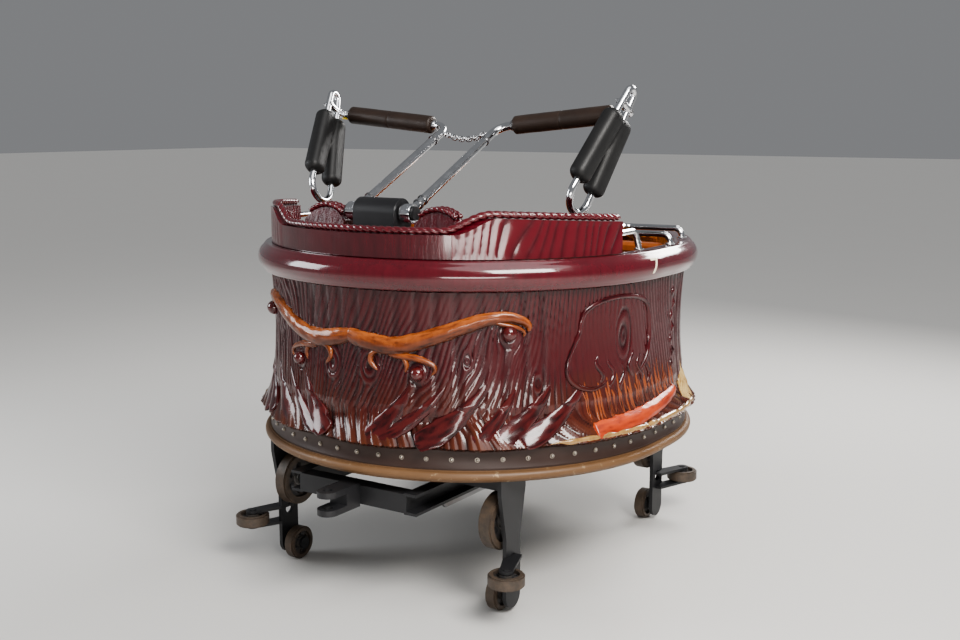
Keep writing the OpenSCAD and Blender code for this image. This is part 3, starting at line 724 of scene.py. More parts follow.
FRAME_PATH = (
    (19, -156, 5, 6), (21.5, -178, 9, 10), (25, -186, 12, 13), (28.5, -172, 13, 15), (31, -140, 13, 15),
    (32, -98, 12, 14), (31.5, -48, 11, 13), (30, 2, 11, 13), (28.5, 52, 11, 13), (28, 102, 12, 14),
    (26.5, 144, 13, 15), (22.5, 172, 12, 14), (16.5, 184, 11, 12), (9.5, 177, 11, 12), (4.6, 152, 12, 13),
    (2.0, 104, 12, 14), (0.9, 38, 13, 15), (0.9, -24, 13, 15), (2.0, -84, 12, 14), (4.6, -130, 10, 11),
    (8, -166, 6, 7),
)
# The knobs: degrees, height and radius.
KNOBS = ((47.5, 68, 32), (70.5, -98, 28))

# The carvings on the foot: degrees, share of the way down, half width and rise in millimetres. In place
# of degrees, a creeping root has the share of its lean that it has turned.
CREEPING_ROOT = (
    (-0.20, -0.55, 8, 0), (0.0, -0.20, 20, 6), (0.22, 0.12, 32, 12), (0.48, 0.40, 40, 16),
    (0.76, 0.64, 42, 15), (1.0, 0.78, 36, 12), (1.10, 0.85, 24, 5),
)
CREEPING_AT = (29, 38.5, 47, 56, 66, 74, -29, -38, -48, -57, -67, -76)
BRIGHT_ROOT = (
    (25.5, 0.74, 37, 24), (22.5, 0.715, 39, 26), (17, 0.68, 38, 26), (11, 0.64, 37, 26), (5, 0.58, 35, 26),
    (0, 0.50, 31, 25), (-4, 0.38, 26, 22), (-6.5, 0.27, 21, 18),
)

# The numeral's two strokes, each by its upper and lower edge's ends, across and up.
SEVEN = (
    ((-0.023, 0.035), (0.024, 0.035), (-0.023, 0.024), (0.024, 0.024)),
    ((0.011, 0.030), (0.024, 0.030), (-0.013, -0.034), (0.001, -0.034)),
)


@dataclass(frozen=True)
class TubForm:
    """The tub's outline, two half rounds joined by short straight sides, and its heights."""

    wall_in: float
    waist: float
    wall_end: float
    foot_z: float
    top_z: float
    skirt_z: float
    skirt_r: float
    rim_r: float
    rim_z: float
    straight: float

    @classmethod
    def read(cls) -> "TubForm":
        """Reads it from the CAD boxes."""
        wall, rim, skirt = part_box("tub_wall"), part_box("rim"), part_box("root_skirt")
        end = wall[1].x
        return cls(
            wall_in=rim[1].x - RIM_WIDTH,
            waist=end - WALL_FLARE,
            wall_end=end,
            foot_z=wall[0].z,
            top_z=wall[1].z,
            skirt_z=skirt[0].z,
            skirt_r=skirt[1].x,
            rim_r=rim[1].x,
            rim_z=rim[1].z,
            straight=rim[1].y - rim[1].x,
        )

    @property
    def mid_z(self) -> float:
        """The height of the wall's waist."""
        return (self.foot_z + self.top_z) / 2

    @property
    def half(self) -> float:
        """Half the wall's height."""
        return (self.top_z - self.foot_z) / 2

    @property
    def drop(self) -> float:
        """The height of the flared foot."""
        return self.foot_z - self.skirt_z

    @property
    def length(self) -> float:
        """The way round the waist."""
        return TAU * self.waist + 4 * self.straight

    def wall_r(self, z: float) -> float:
        """The wall's outer radius at a height."""
        return self.waist + (self.wall_end - self.waist) * ((z - self.mid_z) / self.half) ** 2

    def way(self, angle: float) -> float:
        """Turns an angle, counted from the right side towards the rear, into a way round the waist."""
        straight = math.copysign(self.straight, angle) if angle else 0.0
        return straight + math.radians(angle) * self.waist

    def angle(self, s: float) -> float:
        """Turns a way round the waist back into an angle, from -180 to 180."""
        s = (s + self.length / 2) % self.length - self.length / 2
        turned = math.degrees(max(0.0, abs(s) - self.straight) / self.waist)
        return math.copysign(min(180.0, turned), s)

    def mirrored(self, s: float, mirror: bool) -> float:
        """Gives the same place on the other side of the tub where mirror is set."""
        return self.length / 2 - s if mirror else s

    def side(self, s: float) -> float:
        """Gives the angle from the middle of the nearer side, counted towards the rear."""
        angle = self.angle(s)
        return angle if abs(angle) < 90 else math.copysign(180, angle) - angle

    def spot(self, s: float, r: float, z: float) -> Point:
        """Gives the point a way s round the outline, at a radius and height.

        Args:
            s: The way round the waist from the middle of the right side towards the rear.
            r: The radius.
            z: The height.

        Returns:
            The point.
        """
        half = self.length / 2
        s %= self.length
        flip = 1.0
        if s > half:
            s, flip = s - half, -1.0
        if s < self.straight:
            x, y = r, -s
        elif s > half - self.straight:
            x, y = -r, -(half - s)
        else:
            turn = (s - self.straight) / self.waist
            x, y = r * math.cos(turn), -self.straight - r * math.sin(turn)
        return Vector((flip * x, flip * y, z))

    def outward(self, s: float) -> Point:
        """Gives the direction that faces out of the wall."""
        return (self.spot(s, self.waist + 1, 0) - self.spot(s, self.waist, 0)).normalized()


@dataclass(frozen=True)
class TopLine:
    """The line that the wings' tops and the low rear wall follow, with a wave between the two."""

    high: float
    deck: float
    front: float
    rear: float
    wave: float = 0.105
    fall: float = 0.030

    @classmethod
    def read(cls) -> "TopLine":
        """Reads it from the CAD boxes."""
        low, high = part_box("wings")
        return cls(high.z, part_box("rear_deck")[1].z, high.y, low.y + cls.wave)

    def at(self, y: float) -> float:
        """Gives its height at a place along the car."""
        if y >= self.rear:
            return self.high - self.fall * max(0.0, (y - self.rear) / (self.front - self.rear))
        if y > self.rear - self.wave:
            share = (self.rear - y) / self.wave
            return self.deck + (self.high - self.deck) * (1 + math.cos(math.pi * share)) / 2
        return self.deck


@dataclass(frozen=True)
class Knot:
    """A knot that the carved strands part round, by its angle and its height above the waist."""

    angle: float
    above: float
    r: float
    tall: float = 1.3
    rings: float = 3.0


KNOTS = (
    Knot(47.5, 0.062, 0.046, 1.2, 1.5),
    Knot(70.5, -0.098, 0.040, 1.2, 1.5),
    Knot(84.0, -0.085, 0.050, 1.5, 2.4),
    Knot(13.0, 0.020, 0.052, 2.2, 1.5),
    Knot(-27.0, 0.045, 0.034, 1.9, 1.5),
    Knot(-48.0, -0.050, 0.052, 1.5, 2.5),
    Knot(-74.0, 0.080, 0.038, 1.5, 1.5),
    Knot(40.0, -0.140, 0.022, 1.8, 1.0),
    Knot(58.0, -0.040, 0.020, 2.0, 1.0),
)


@dataclass
class Bark:
    """Carved strands that run up the tub and part round its knots, the same on both sides."""

    form: TubForm
    pitch: float = 0.027
    deep: float = 0.0078
    spots: list[tuple[float, float, Knot]] = field(default_factory=list)

    def __post_init__(self) -> None:
        """Places each knot and its mirror image."""
        for knot in KNOTS:
            s, z = self.form.way(knot.angle), self.form.mid_z + knot.above
            self.spots += [(self.form.mirrored(s, mirror), z, knot) for _, mirror in SIDES]

    def height(self, s: float, z: float) -> float:
        """Gives the relief at a place.

        Args:
            s: The way round the waist.
            z: The height.

        Returns:
            0 in a groove, up to 1 on a strand's back.
        """
        form = self.form
        around = form.spot(s, 1.0, z * 0.55)
        lean = 0.75 * (form.mid_z - z) * noise.noise(form.spot(s, 1.0, 0.0) * 1.2 + Vector((0, 0, 4)))
        across = s + lean + 0.12 * noise.noise(around * 1.6) + 0.026 * noise.noise(around * 6.0)
        calm = 0.0
        for knot_s, knot_z, knot in self.spots:
            dx = (s - knot_s + form.length / 2) % form.length - form.length / 2
            reach = 6 * knot.r
            if abs(dx) > reach:
                continue
            dz = (z - knot_z) / knot.tall
            d = math.hypot(dx, dz)
            if d < knot.r:
                ring = d / knot.r * knot.rings + 0.3 * noise.noise(around * 9.0)
                return 0.15 + 0.80 * strand(ring + 0.5) * min(1.0, d / (0.35 * knot.r) + 0.15)
            if d < reach:
                fade = (1 - d / reach) ** 0.5
                across -= dx * (knot.r / d) ** 2 * fade
                calm = max(calm, 1 - (d - knot.r) / (1.6 * knot.r))
        width = across / self.pitch + 0.9 * noise.noise(form.spot(s, 1.0, z * 0.18) * 6.0 + Vector((7, 0, 0)))
        wide = strand(width)
        fine = strand(width * 2.37 + 1.3 * noise.noise(around * 3.1))
        bold = 0.62 + 0.75 * noise.noise(form.spot(s, 1.0, z * 1.6) * 2.6 + Vector((0, 3, 0)))
        panel = near(form.side(s), 15.5, 16.5) * near(z, form.mid_z, 0.20)
        bold = max(0.28, min(1.0, bold + 0.3 * calm)) * (1 - 0.86 * panel)
        tone = 1 - bold * (1 - (0.70 * wide + 0.30 * fine * wide))
        scratch = noise.noise(form.spot(s, 1.0, z * 0.12) * 95.0)
        return max(0.0, min(1.0, tone - 0.10 * abs(scratch)))

    def groove(self, s: float, z: float) -> float:
        """Gives the depth of the main grooves between the strands, from 0 to 1.

        Args:
            s: The way round the waist.
            z: The height.

        Returns:
            1 on a groove's floor, 0 between grooves.
        """
        form = self.form
        angle = form.angle(s + 0.030 * noise.noise(form.spot(s, 1.0, z) * 3.2))
        end = 90.0 if angle > 0 else -90.0
        off = abs(angle - end)
        if off > (54.0 if end > 0 else 81.0):
            return 0.0
        share = abs((off / 5.4) % 1.0 - 0.5) * 5.4
        return max(0.0, min(1.0, 1.5 - share / 0.95))

    def sunk(self, s: float, z: float) -> tuple[float, float]:
        """Gives how far the bark lies in from the plain wall, and its carve value."""
        carve, cut = self.height(s, z), self.groove(s, z)
        return 0.0038 * cut + self.deep * (1 - carve) - 0.0012, carve * (1 - 0.25 * cut)


@dataclass
class Tub:
    """Carves and glazes everything that the riders sit in."""

    form: TubForm
    bark: Bark
    looks: dict[str, bpy.types.Material]

    def build(self) -> None:
        """Makes all of the tub's pieces."""
        self.wall()
        self.roots()
        self.creeping_roots()
        on_the_foot = self.bright_root, self.hanging_roots, self.gold_lip, self.tuft
        on_the_wall = self.branch, self.carved_lines, self.knobs
        for group in (on_the_foot, on_the_wall):
            for side, mirror in SIDES:
                for make in group:
                    make(side, mirror)
        self.rim()
        self.numeral()
        self.wings()
        self.ropes()
        self.lining()
        self.deck()
        self.bolts()

    def wall(self) -> None:
        """Carves the wall, with a plain inner face."""
        form, rows, back = self.form, 58, 4
        tall = form.top_z - form.foot_z

        def shape(u: float, v: float) -> tuple[Point, float]:
            """Goes up the outer face and back down the inner one."""
            s = u * form.length
            row = v * (rows + back)
            if row <= rows:
                z = form.foot_z + tall * row / rows
                sunk, carve = self.bark.sunk(s, z)
                return form.spot(s, form.wall_r(z) - sunk, z), carve
            down = (row - rows) / back
            z = min(form.top_z, max(form.foot_z, form.top_z - tall * (down - 0.25) / 0.5))
            return form.spot(s, form.wall_in + INNER_GAP, z), 0.5

        blank = Blank("carved_wall")
        blank.wrap(ROUND_STEPS, rows + back, shape, round_across=True, round_along=True)
        piece = blank.finish(self.looks["carved_gelcoat"], slot="carved_gelcoat", sharp_deg=CARVED_DEG)
        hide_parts("tub_wall")

    def root_r(self, s: float, t: float) -> tuple[float, float]:
        """Gives the foot's radius and relief, a share t of the way down it.

        Args:
            s: The way round the waist.
            t: The share, from 0 at the top to 1 at the foot.

        Returns:
            The radius, and the relief from 0 to 1.
        """
        form = self.form
        angle, side = form.angle(s), form.side(s)
        log, tuft = near(side, 9, 17), near(side, -17, 5.5)
        wave = abs(math.sin(math.radians(6.5 * angle + 20 * math.sin(math.radians(2 * angle))))) ** 3
        sink = math.sin(math.pi / 2 * min(1.0, 1.25 * t)) * (1 - log) * (1 - tuft)
        around = form.spot(s, 1.0, t * 0.3)
        sweep = 0.5 + 0.9 * noise.noise(form.spot(s, 1.0, 0.0) * 1.1 + Vector((0, 0, 9)))
        bend = s + sweep * 0.26 * t * t + 0.05 * noise.noise(around * 2.1) + 0.012 * noise.noise(around * 8.0)
        root = strand(bend / 0.074 + 0.4 * noise.noise(around * 4.0), 0.8)
        line = strand(bend / 0.0225 + noise.noise(around * 5.0))
        relief = max(0.0, min(1.0, 0.55 * root + 0.45 * line - 0.35 * wave * sink))
        radius = form.wall_end + (form.skirt_r - 0.001 - form.wall_end) * t**FLARE
        radius += 0.012 * tuft * near(t, 0.55, 0.42) * (1 - 0.5 * t)
        wood = max(0.0, 1 - 2.6 * t)
        sunk, carve = self.bark.sunk(s, form.foot_z - form.drop * t)
        low = 0.020 * wave * sink - 0.012 * (relief - 0.8)
        return radius - wood * sunk - (1 - wood) * low, wood * carve + (1 - wood) * relief

    def roots(self) -> None:
        """Carves the flared foot."""
        form, rows, back = self.form, 22, 4
        lip = 0.012

        def shape(u: float, v: float) -> tuple[Point, float]:
            """Goes down the outer face, in under its lip, and up the inner face."""
            s = u * form.length
            row = v * (rows + back)
            if row <= rows:
                t = row / rows
                r, relief = self.root_r(s, t)
                return form.spot(s, r, form.foot_z + (lip - form.drop) * t), relief
            step = row - rows
            if step < 1.5:
                return form.spot(s, self.root_r(s, 1.0)[0] - lip, form.skirt_z), 0.2
            up = max(0.0, min(1.0, step - 2))
            return form.spot(s, form.wall_in + INNER_GAP, form.skirt_z + form.drop * up), 0.2

        blank = Blank("carved_roots")
        blank.wrap(ROUND_STEPS, rows + back, shape, round_across=True, round_along=True)
        piece = blank.finish(self.looks["root_glaze"], slot="root_glaze", sharp_deg=CARVED_DEG)
        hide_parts("root_skirt")

    def relief(
        self,
        blank: Blank,
        path: Sequence[Stroke],
        lit: float = 0.0,
        base: Callable[[float, float], float] | None = None,
        sides: int = 20,
        step: float = 0.008,
    ) -> None:
        """Adds a raised carving that lies on the wall.

        Args:
            blank: What it is added to.
            path: Its middle line.
            lit: How much paler its upper side is painted: a painted highlight along its top and painted shade
                along its underside.
            base: Gives the radius that it lies on. Without it, that is the wall.
            sides: The faces over its back.
            step: The length of each step along it.
        """
        form = self.form
        line = smooth([Vector(p[:2]).to_3d() for p in path])
        sizes = smooth([Vector((p[2], p[3], 0)) for p in path])
        total = sum((b - a).length for a, b in zip(line, line[1:]))
        count = max(6, round(total / step))
        last = len(line) - 1
        pick = [i * last / count for i in range(count + 1)]
        mids, wide = (
            [row[int(k)].lerp(row[min(int(k) + 1, last)], k % 1) for k in pick] for row in (line, sizes)
        )

        def shape(u: float, v: float) -> tuple[Point, float]:
            """Gives one point of the carving's skin, whose underside is buried in the wall."""
            i = round(v * count)
            mid = mids[i]
            ahead = mids[min(i + 1, count)] - mids[max(i - 1, 0)]
            ahead.normalize()
            q = TAU * u
            over = max(0.0, math.sin(q))
            taper = math.sqrt(min(1.0, 0.05 + i / 5, 0.05 + (count - i) / 5))
            around = Vector((mid.x, mid.y, 0.4 * math.cos(q)))
            gone = i * total / count
            tone = strand(2.0 + 2.2 * math.cos(q) + 1.1 * noise.noise(around * 9) + gone * 0.9)
            swell = 0.90 + 0.06 * tone + 0.09 * noise.noise(around * 26)
            side = wide[i].x * swell * taper * math.cos(q)
            s, z = mid.x + ahead.y * side, mid.y - ahead.x * side
            buried = 0.012 if math.sin(q) < -1e-6 else 0.002
            rise = wide[i].y * swell * taper * over - buried
            r = base(s, z) if base else form.wall_r(z)
            # Painted highlight and painted shade: by the share lit, the carve value rises from the underside
            # to the top, so the top takes the high colour and the underside the hollow colour.
            top = 0.5 + 0.5 * (z - mid.y) / wide[i].x
            return form.spot(s, r + rise, z), (1 - lit) * tone + lit * (0.7 * top + 0.3 * tone * top)

        blank.wrap(sides, count, shape, round_across=True, capped=True)

    @property
    def drawn_mm(self) -> float:
        """What one millimetre of the wall's drawn carvings measures on this wall."""
        return self.form.half / DRAWN_HALF / MM

    def on_wall(self, drawn: Sequence[Stroke], mirror: bool) -> list[Stroke]:
        """Turns points drawn in degrees and millimetres into places on the wall."""
        form, k = self.form, self.drawn_mm
        return [
            (form.mirrored(form.way(angle), mirror), form.mid_z + k * above, k * wide, k * rise)
            for angle, above, wide, rise in drawn
        ]

    def on_foot(self, drawn: Sequence[Stroke], mirror: bool) -> list[Stroke]:
        """Turns points drawn in degrees, shares down the foot and millimetres into places on it."""
        form = self.form
        return [
            (form.mirrored(form.way(angle), mirror), form.foot_z - form.drop * t, wide / MM, rise / MM)
            for angle, t, wide, rise in drawn
        ]

    def branch(self, side: str, mirror: bool) -> None:
        """Carves the branch that hooks over a knob, and the rootlets round the knot hole."""
        blank = Blank(f"branch_{side}")
        # The second number of each row is lit, how strongly that carving's top is painted with a highlight
        # and its underside with shade.
        for drawn, lit, sides, step in (
            (BRANCH, 0.75, 32, 0.005),
            (TWIG, 0.75, 20, 0.005),
            (OFFSHOOT, 0.6, 20, 0.008),
            (KNOT_HOLE, 0.6, 20, 0.006),
        ):
            self.relief(blank, self.on_wall(drawn, mirror), lit, sides=sides, step=step)
        piece = blank.finish(self.looks["branch_glaze"], slot="branch_glaze", sharp_deg=GLAZED_DEG)
        if not mirror:
            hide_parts("wall_carvings")

    def carved_lines(self, side: str, mirror: bool) -> None:
        """Carves the calm panel's frame, the strands under it and the braid before it."""
        blank = Blank(f"carved_lines_{side}")
        self.relief(blank, self.on_wall(FRAME_PATH, mirror), sides=18)
        for n in range(6):
            drawn = []
            for i in range(6):
                sway = 1.1 * math.sin(math.radians(70 * i + 80 * n))
                drawn.append((22 - 4 * n + sway, -48 - 24 * (n % 3) - 24 * i, 10 + i, 8 + i))
            self.relief(blank, self.on_wall(drawn, mirror), sides=14)
        for n in range(7):
            drawn = []
            for i in range(4):
                swell = math.sin(math.radians(60 * i))
                turn = 0.9 * math.sin(math.radians(60 * i + 180 * (n % 2)))
                drawn.append((-6.5 + turn, -198 + 54 * n + 18 * i, 7 + 8 * swell, 5 + 9 * swell))
            self.relief(blank, self.on_wall(drawn, mirror), sides=12)
        blank.finish(self.looks["carved_gelcoat"], slot="branch_glaze", sharp_deg=GLAZED_DEG)

    def knobs(self, side: str, mirror: bool) -> None:
        """Sets the round knobs that the branch hooks over."""
        form, k = self.form, self.drawn_mm
        blank = Blank(f"knobs_{side}")
        for angle, above, r in KNOBS:
            s = form.mirrored(form.way(angle), mirror)
            z = form.mid_z + k * above
            blob(blank, form.spot(s, form.wall_r(z) + 0.2 * r / MM, z), [k * r] * 3, 40)
        blank.finish(self.looks["knob_glaze"], slot="branch_glaze")

    def skirt_r(self, s: float, z: float) -> float:
        """Gives the plain foot's radius at a height, a little under its surface."""
        form = self.form
        t = min(1.0, (form.foot_z - z) / form.drop)
        if t < 0:
            return form.wall_r(z)
        return form.wall_end + (form.skirt_r - 0.004 - form.wall_end) * t**FLARE - 0.004

    def carved_r(self, s: float, z: float) -> float:
        """Gives the radius of the carved foot itself, just under its surface."""
        t = (self.form.foot_z - z) / self.form.drop
        return self.root_r(s, min(1.0, t))[0] - 0.001 if t > 0 else self.form.wall_r(z) - 0.003

    def creeping_roots(self) -> None:
        """Lays the broad roots that creep out over the foot, at the front and at the rear."""
        blank = Blank("creeping_roots")
        for n, a in enumerate(CREEPING_AT):
            lean = math.copysign(12.0 + 3.0 * math.sin(1.9 * n + 1), a)
            fat = 1 + 0.20 * math.sin(2.7 * n)
            drawn = [(a + lean * gone, t, fat * wide, rise) for gone, t, wide, rise in CREEPING_ROOT]
            for _, mirror in SIDES:
                path = self.on_foot(drawn, mirror)
                self.relief(blank, path, lit=0.30, base=self.skirt_r, sides=26, step=0.007)
        blank.finish(self.looks["creeping_glaze"], slot="root_glaze", sharp_deg=GLAZED_DEG)

    def bright_root(self, side: str, mirror: bool) -> None:
        """Lays the bright root along the foot."""
        blank = Blank(f"bright_root_{side}")
        path = self.on_foot(BRIGHT_ROOT, mirror)
        self.relief(blank, path, lit=0.5, base=self.skirt_r, sides=30, step=0.006)
        blank.finish(self.looks["log_glaze"], slot="root_glaze", sharp_deg=GLAZED_DEG)

    def hanging_roots(self, side: str, mirror: bool) -> None:
        """Hangs thin roots over the bright one."""
        form, count = self.form, 30
        blank = Blank(f"hanging_roots_{side}")
        first, last = form.way(-6), form.way(27)
        for n in range(count):
            share = n / (count - 1)
            at = first + (last - first) * (n + 0.4 * math.sin(2.3 * n)) / (count - 1)
            low = 0.26 + 0.54 * share + 0.05 * math.sin(1.7 * n)
            top = -0.50 + 0.28 * math.sin(2.9 * n)
            drawn = (
                (0.018, top, 3, 1), (0.009, 0.5 * top, 6, 5), (0.0, 0.0, 8, 8), (-0.012, low * 0.6, 8, 11),
                (-0.026, low, 4, 7),
            )
            path = [
                (form.mirrored(at + gone, mirror), form.foot_z - form.drop * t, wide / MM, rise / MM)
                for gone, t, wide, rise in drawn
            ]
            self.relief(blank, path, base=self.skirt_r, sides=10, step=0.010)
        blank.finish(self.looks["hanging_glaze"], slot="root_glaze", sharp_deg=GLAZED_DEG)

    def gold_lip(self, side: str, mirror: bool) -> None:
        """Runs a gold lip along the foot's edge, under the bright root."""
        form, count = self.form, 130
        points = []
        for i in range(count):
            a = -24 + 62 * i / (count - 1)
            sway = 0.0035 * noise.noise(Vector((a * 0.35, 2.0, 0.0)))
            r, z = form.skirt_r - 0.0145 + 0.5 * sway, form.skirt_z + 0.020 + 1.5 * sway
            points.append(form.spot(form.mirrored(form.way(a), mirror), r, z))

        def bead(u: float, v: float) -> tuple[float, float]:
            """Gives the lip's flattened round section, drawn in at its ends."""
            fine = min(1.0, 0.1 + 9 * v, 0.1 + 9 * (1 - v)) * (1 + 0.18 * math.sin(70 * v))
            return 0.0095 * fine * math.cos(TAU * u), 0.0125 * fine * math.sin(TAU * u)

        blank = Blank(f"gold_lip_{side}").sweep(points, bead, 14, up=UP)
        blank.finish(self.looks["gold_plain"], slot="root_glaze", sharp_deg=GLAZED_DEG)

    def tuft(self, side: str, mirror: bool) -> None:
        """Stands a tuft of narrow ribs before the bright root, drawn together at its tip."""
        blank, count, middle = Blank(f"tuft_{side}"), 11, -17.1
        for n in range(count):
            a = -12.2 - 0.98 * n
            tip = -0.34 + 0.040 * abs(n - count // 2) ** 1.5
            inner = middle + 0.75 * (a - middle)
            drawn = [
                (middle - 0.2 + 0.25 * (a - middle), tip, 4, 3), (inner, 0.10, 8, 7), (a, 0.38, 10, 11),
                (a - 0.3, 0.62, 10, 11), (inner, 0.84, 8, 8), (inner + 0.6, 0.93, 5, 5),
            ]
            path = self.on_foot(drawn, mirror)
            self.relief(blank, path, lit=0.15, base=self.carved_r, sides=14, step=0.007)
        blank.finish(self.looks["gold_glaze"], slot="root_glaze", sharp_deg=GLAZED_DEG)

    def rim_point(self, s: float, turn: float, lift: float = 0.0) -> Point:
        """Gives a place on the rim's round outer face.

        Args:
            s: The way round the waist.
            turn: The angle up the face, in degrees, from straight out.
            lift: How far it stands off.

        Returns:
            The point.
        """
        form = self.form
        beads = ((66, 0.0045), (-56, 0.00405))
        bead = sum(rise * math.exp(-(((turn - at) / 9) ** 2)) for at, rise in beads)
        reach = RIM_TUBE - 0.002 + bead + lift
        q = math.radians(turn)
        z = form.rim_z - RIM_TUBE + reach * math.sin(q)
        return form.spot(s, form.rim_r - RIM_TUBE + reach * math.cos(q), z if lift else min(z, form.rim_z))

    def rim(self) -> None:
        """Rounds the thick rim, with a bead along its top and a lip along its foot."""
        form = self.form
        top, low, inner = form.rim_z, form.rim_z - 2 * RIM_TUBE, form.wall_in
        outside = [-90 + 4 * i for i in range(46)]
        inside = [
            (inner + 0.030, top - 0.002), (inner + 0.012, top - 0.002), (inner + 0.005, top - 0.004),
            (inner + 0.001, top - 0.010), (inner, top - 0.022), (inner, (low + top) / 2),
            (inner, low + 0.012), (inner + 0.003, low + 0.003), (inner + 0.012, low + 0.002),
            (inner + 0.030, low + 0.002),
        ]
        steps = len(outside) + len(inside)

        def shape(u: float, v: float) -> Point:
            """Goes round the rim's section."""
            s = u * form.length
            i = round(v * steps) % steps
            if i < len(outside):
                return self.rim_point(s, outside[i])
            return form.spot(s, *inside[i - len(outside)])

        blank = Blank("round_rim").wrap(520, steps, shape, round_across=True, round_along=True)
        piece = blank.finish(self.looks["rim_gelcoat"], slot="rim_gelcoat", sharp_deg=50)
        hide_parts("rim")

    def numeral(self) -> None:
        """Sets a plain cream numeral on each side of the rim."""
        turn, lift, thick = 6, 0.0006, 0.0008
        for side, mirror in SIDES:
            start = self.form.mirrored(self.form.way(turn), mirror)
            blank = Blank(f"numeral_{side}")
            for corners in SEVEN:

                def shape(u: float, v: float) -> Point:
                    """Gives one point of a stroke, laid on the rim."""
                    a, b, c, d = (Vector(corner) for corner in corners)
                    spot = a.lerp(b, u).lerp(c.lerp(d, u), v)
                    return self.rim_point(start - spot.x, turn + math.degrees(spot.y / RIM_TUBE), lift)

                blank.wrap(6, 16, shape)
            bmesh.ops.solidify(blank.bm, geom=list(blank.bm.faces), thickness=-thick)
            blank.finish(self.looks["cream_paint"], slot="rim_gelcoat")

    def wings(self) -> None:
        """Carves the two wings that stand on the rim beside and behind the riders."""
        form = self.form
        low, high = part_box("wings")
        top = TopLine.read()
        inner, outer = form.wall_in + 0.004, form.wall_in + 0.050
        rows, cap = 24, 3
        steps = 2 * (rows + cap)
        blank = Blank("carved_wings")
        for flip in (1, -1):

            def shape(u: float, v: float) -> tuple[Point, float]:
                """Goes up the outer face, over the top, down the inner face and back under."""
                i = round(v * steps) % steps
                up = min(1.0, i / rows) if i <= rows + cap else max(0.0, 1 - (i - rows - cap) / rows)
                outside = i <= rows or i == steps - 1
                r = outer if i <= rows else inner
                if rows < i < rows + cap:
                    r = outer + (inner - outer) * (i - rows) / cap
                if i > 2 * rows + cap:
                    r = inner + (outer - inner) * (i - 2 * rows - cap) / cap
                a0, a1 = (math.asin((-y - form.straight) / r) for y in (high.y, low.y))
                a = a0 + (a1 - a0) * u
                y = -form.straight - r * math.sin(a)
                z = form.rim_z + (top.at(y) - form.rim_z) * up
                way = 0.9 * a
                sway = 0.030 * noise.noise(Vector((way * 3, z * 5, 6.0 + flip)))
                sway += 0.3 * (z - form.rim_z) * math.sin(3 * a)
                tone = strand((way + sway) / 0.042 + 0.8 * noise.noise(Vector((way * 7, z * 3, flip))))
                edge = max(0.0, min(1.0, 6 * up, 6 * (1 - up), 30 * u, 30 * (1 - u)))
                deep = 0.0055 * (1 - tone) * edge
                r += -deep if outside else deep
                return Vector((flip * r * math.cos(a), y, z)), tone * 0.7 + 0.3

            blank.wrap(190, steps, shape, round_along=True, capped=True)
        piece = blank.finish(self.looks["wing_gelcoat"], slot="seat_gelcoat", sharp_deg=50)
        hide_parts("wings")

    def ropes(self) -> None:
        """Twists the rope mouldings along the wings and over the headrests."""
        form, r, top = self.form, 0.0150, TopLine.read()
        radius = form.wall_in + 0.027
        start = math.asin((-top.front - form.straight - r) / radius)
        turns = [0.1 * k - 1.5 for k in range(31)]
        path = []
        for i in range(361):
            a = start + (math.pi - 2 * start) * i / 360
            x, y = radius * math.cos(a), -form.straight - radius * math.sin(a)
            z = max(top.at(y + r * math.sin(q)) + r * math.cos(q) for q in turns)
            path.append(Vector((x, y, z + 0.0003)))
        main = Blank("rope_main")
        self.twist(main, divided(path, 0.005), r)
        piece = main.finish(self.looks["rope_gelcoat"], slot="rope_gelcoat", sharp_deg=80)
        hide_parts("rope_trim")
        small = Blank("rope_headrests")
        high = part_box("headrests")[1]
        mid_x = high.x - 0.105
        thin, bow, reach = 0.0118, 0.1302, 0.1426
        for flip in (1, -1):
            for y in (high.y - 0.030, high.y - 0.069):
                arc = []
                for i in range(61):
                    q = math.radians(-39.5 + 79 * i / 60)
                    x, z = flip * mid_x + reach * math.sin(q), high.z - bow + reach * math.cos(q)
                    arc.append(Vector((x, y, z)))
                self.twist(small, arc, thin)
        small.finish(self.looks["rope_gelcoat"], slot="rope_gelcoat", sharp_deg=80)

    @staticmethod
    def twist(blank: Blank, path: Sequence[Point], r: float) -> None:
        """Adds a rope of three twisted strands.

        Args:
            blank: What it is added to.
            path: The rope's middle.
            r: Its radius.
        """
        length = sum((b - a).length for a, b in zip(path, path[1:]))
        turns = length / (6.4 * r)

        def section(u: float, v: float) -> tuple[float, float]:
            """Gives the rope's section, turned by the twist."""
            q = TAU * u
            bulge = abs(math.cos(1.5 * (q - TAU * turns * v))) ** 0.7
            taper = min(1.0, 0.35 + v * 60, 0.35 + (1 - v) * 60)
            reach = r * (0.66 + 0.34 * bulge) * taper
            return reach * math.cos(q), reach * math.sin(q)

        blank.sweep(path, section, 24, up=UP)

    def lining(self) -> None:
        """Carves the orange lining of the foot well."""
        form = self.form
        low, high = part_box("liner")
        out = high.x
        inside = out - 0.0132
        start = form.way(math.degrees(math.asin((-low.y - form.straight) / out)))
        span = form.length / 2 + 2 * start
        rows, back = 20, 4

        def shape(u: float, v: float) -> tuple[Point, float]:
            """Goes up the inner face and back down the outer one."""
            s = start - span * u
            row = v * (rows + back)
            if row <= rows:
                z = low.z + (high.z - low.z) * row / rows
                around = form.spot(s, 1.0, z * 0.5)
                tone = strand((s + 0.05 * noise.noise(around * 2.2)) / 0.036)
                deep = 0.0045 * (1 - tone) if 0 < row < rows else 0.002
                return form.spot(s, inside + deep, z), tone
            down = min(1.0, max(0.0, (row - rows - 1) / 2))
            return form.spot(s, out, high.z + (low.z - high.z) * down), 0.4

        blank = Blank("carved_lining").wrap(560, rows + back, shape, round_along=True, capped=True)
        piece = blank.finish(self.looks["orange_carved"], slot="orange_wood", sharp_deg=CARVED_DEG)
        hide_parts("liner")

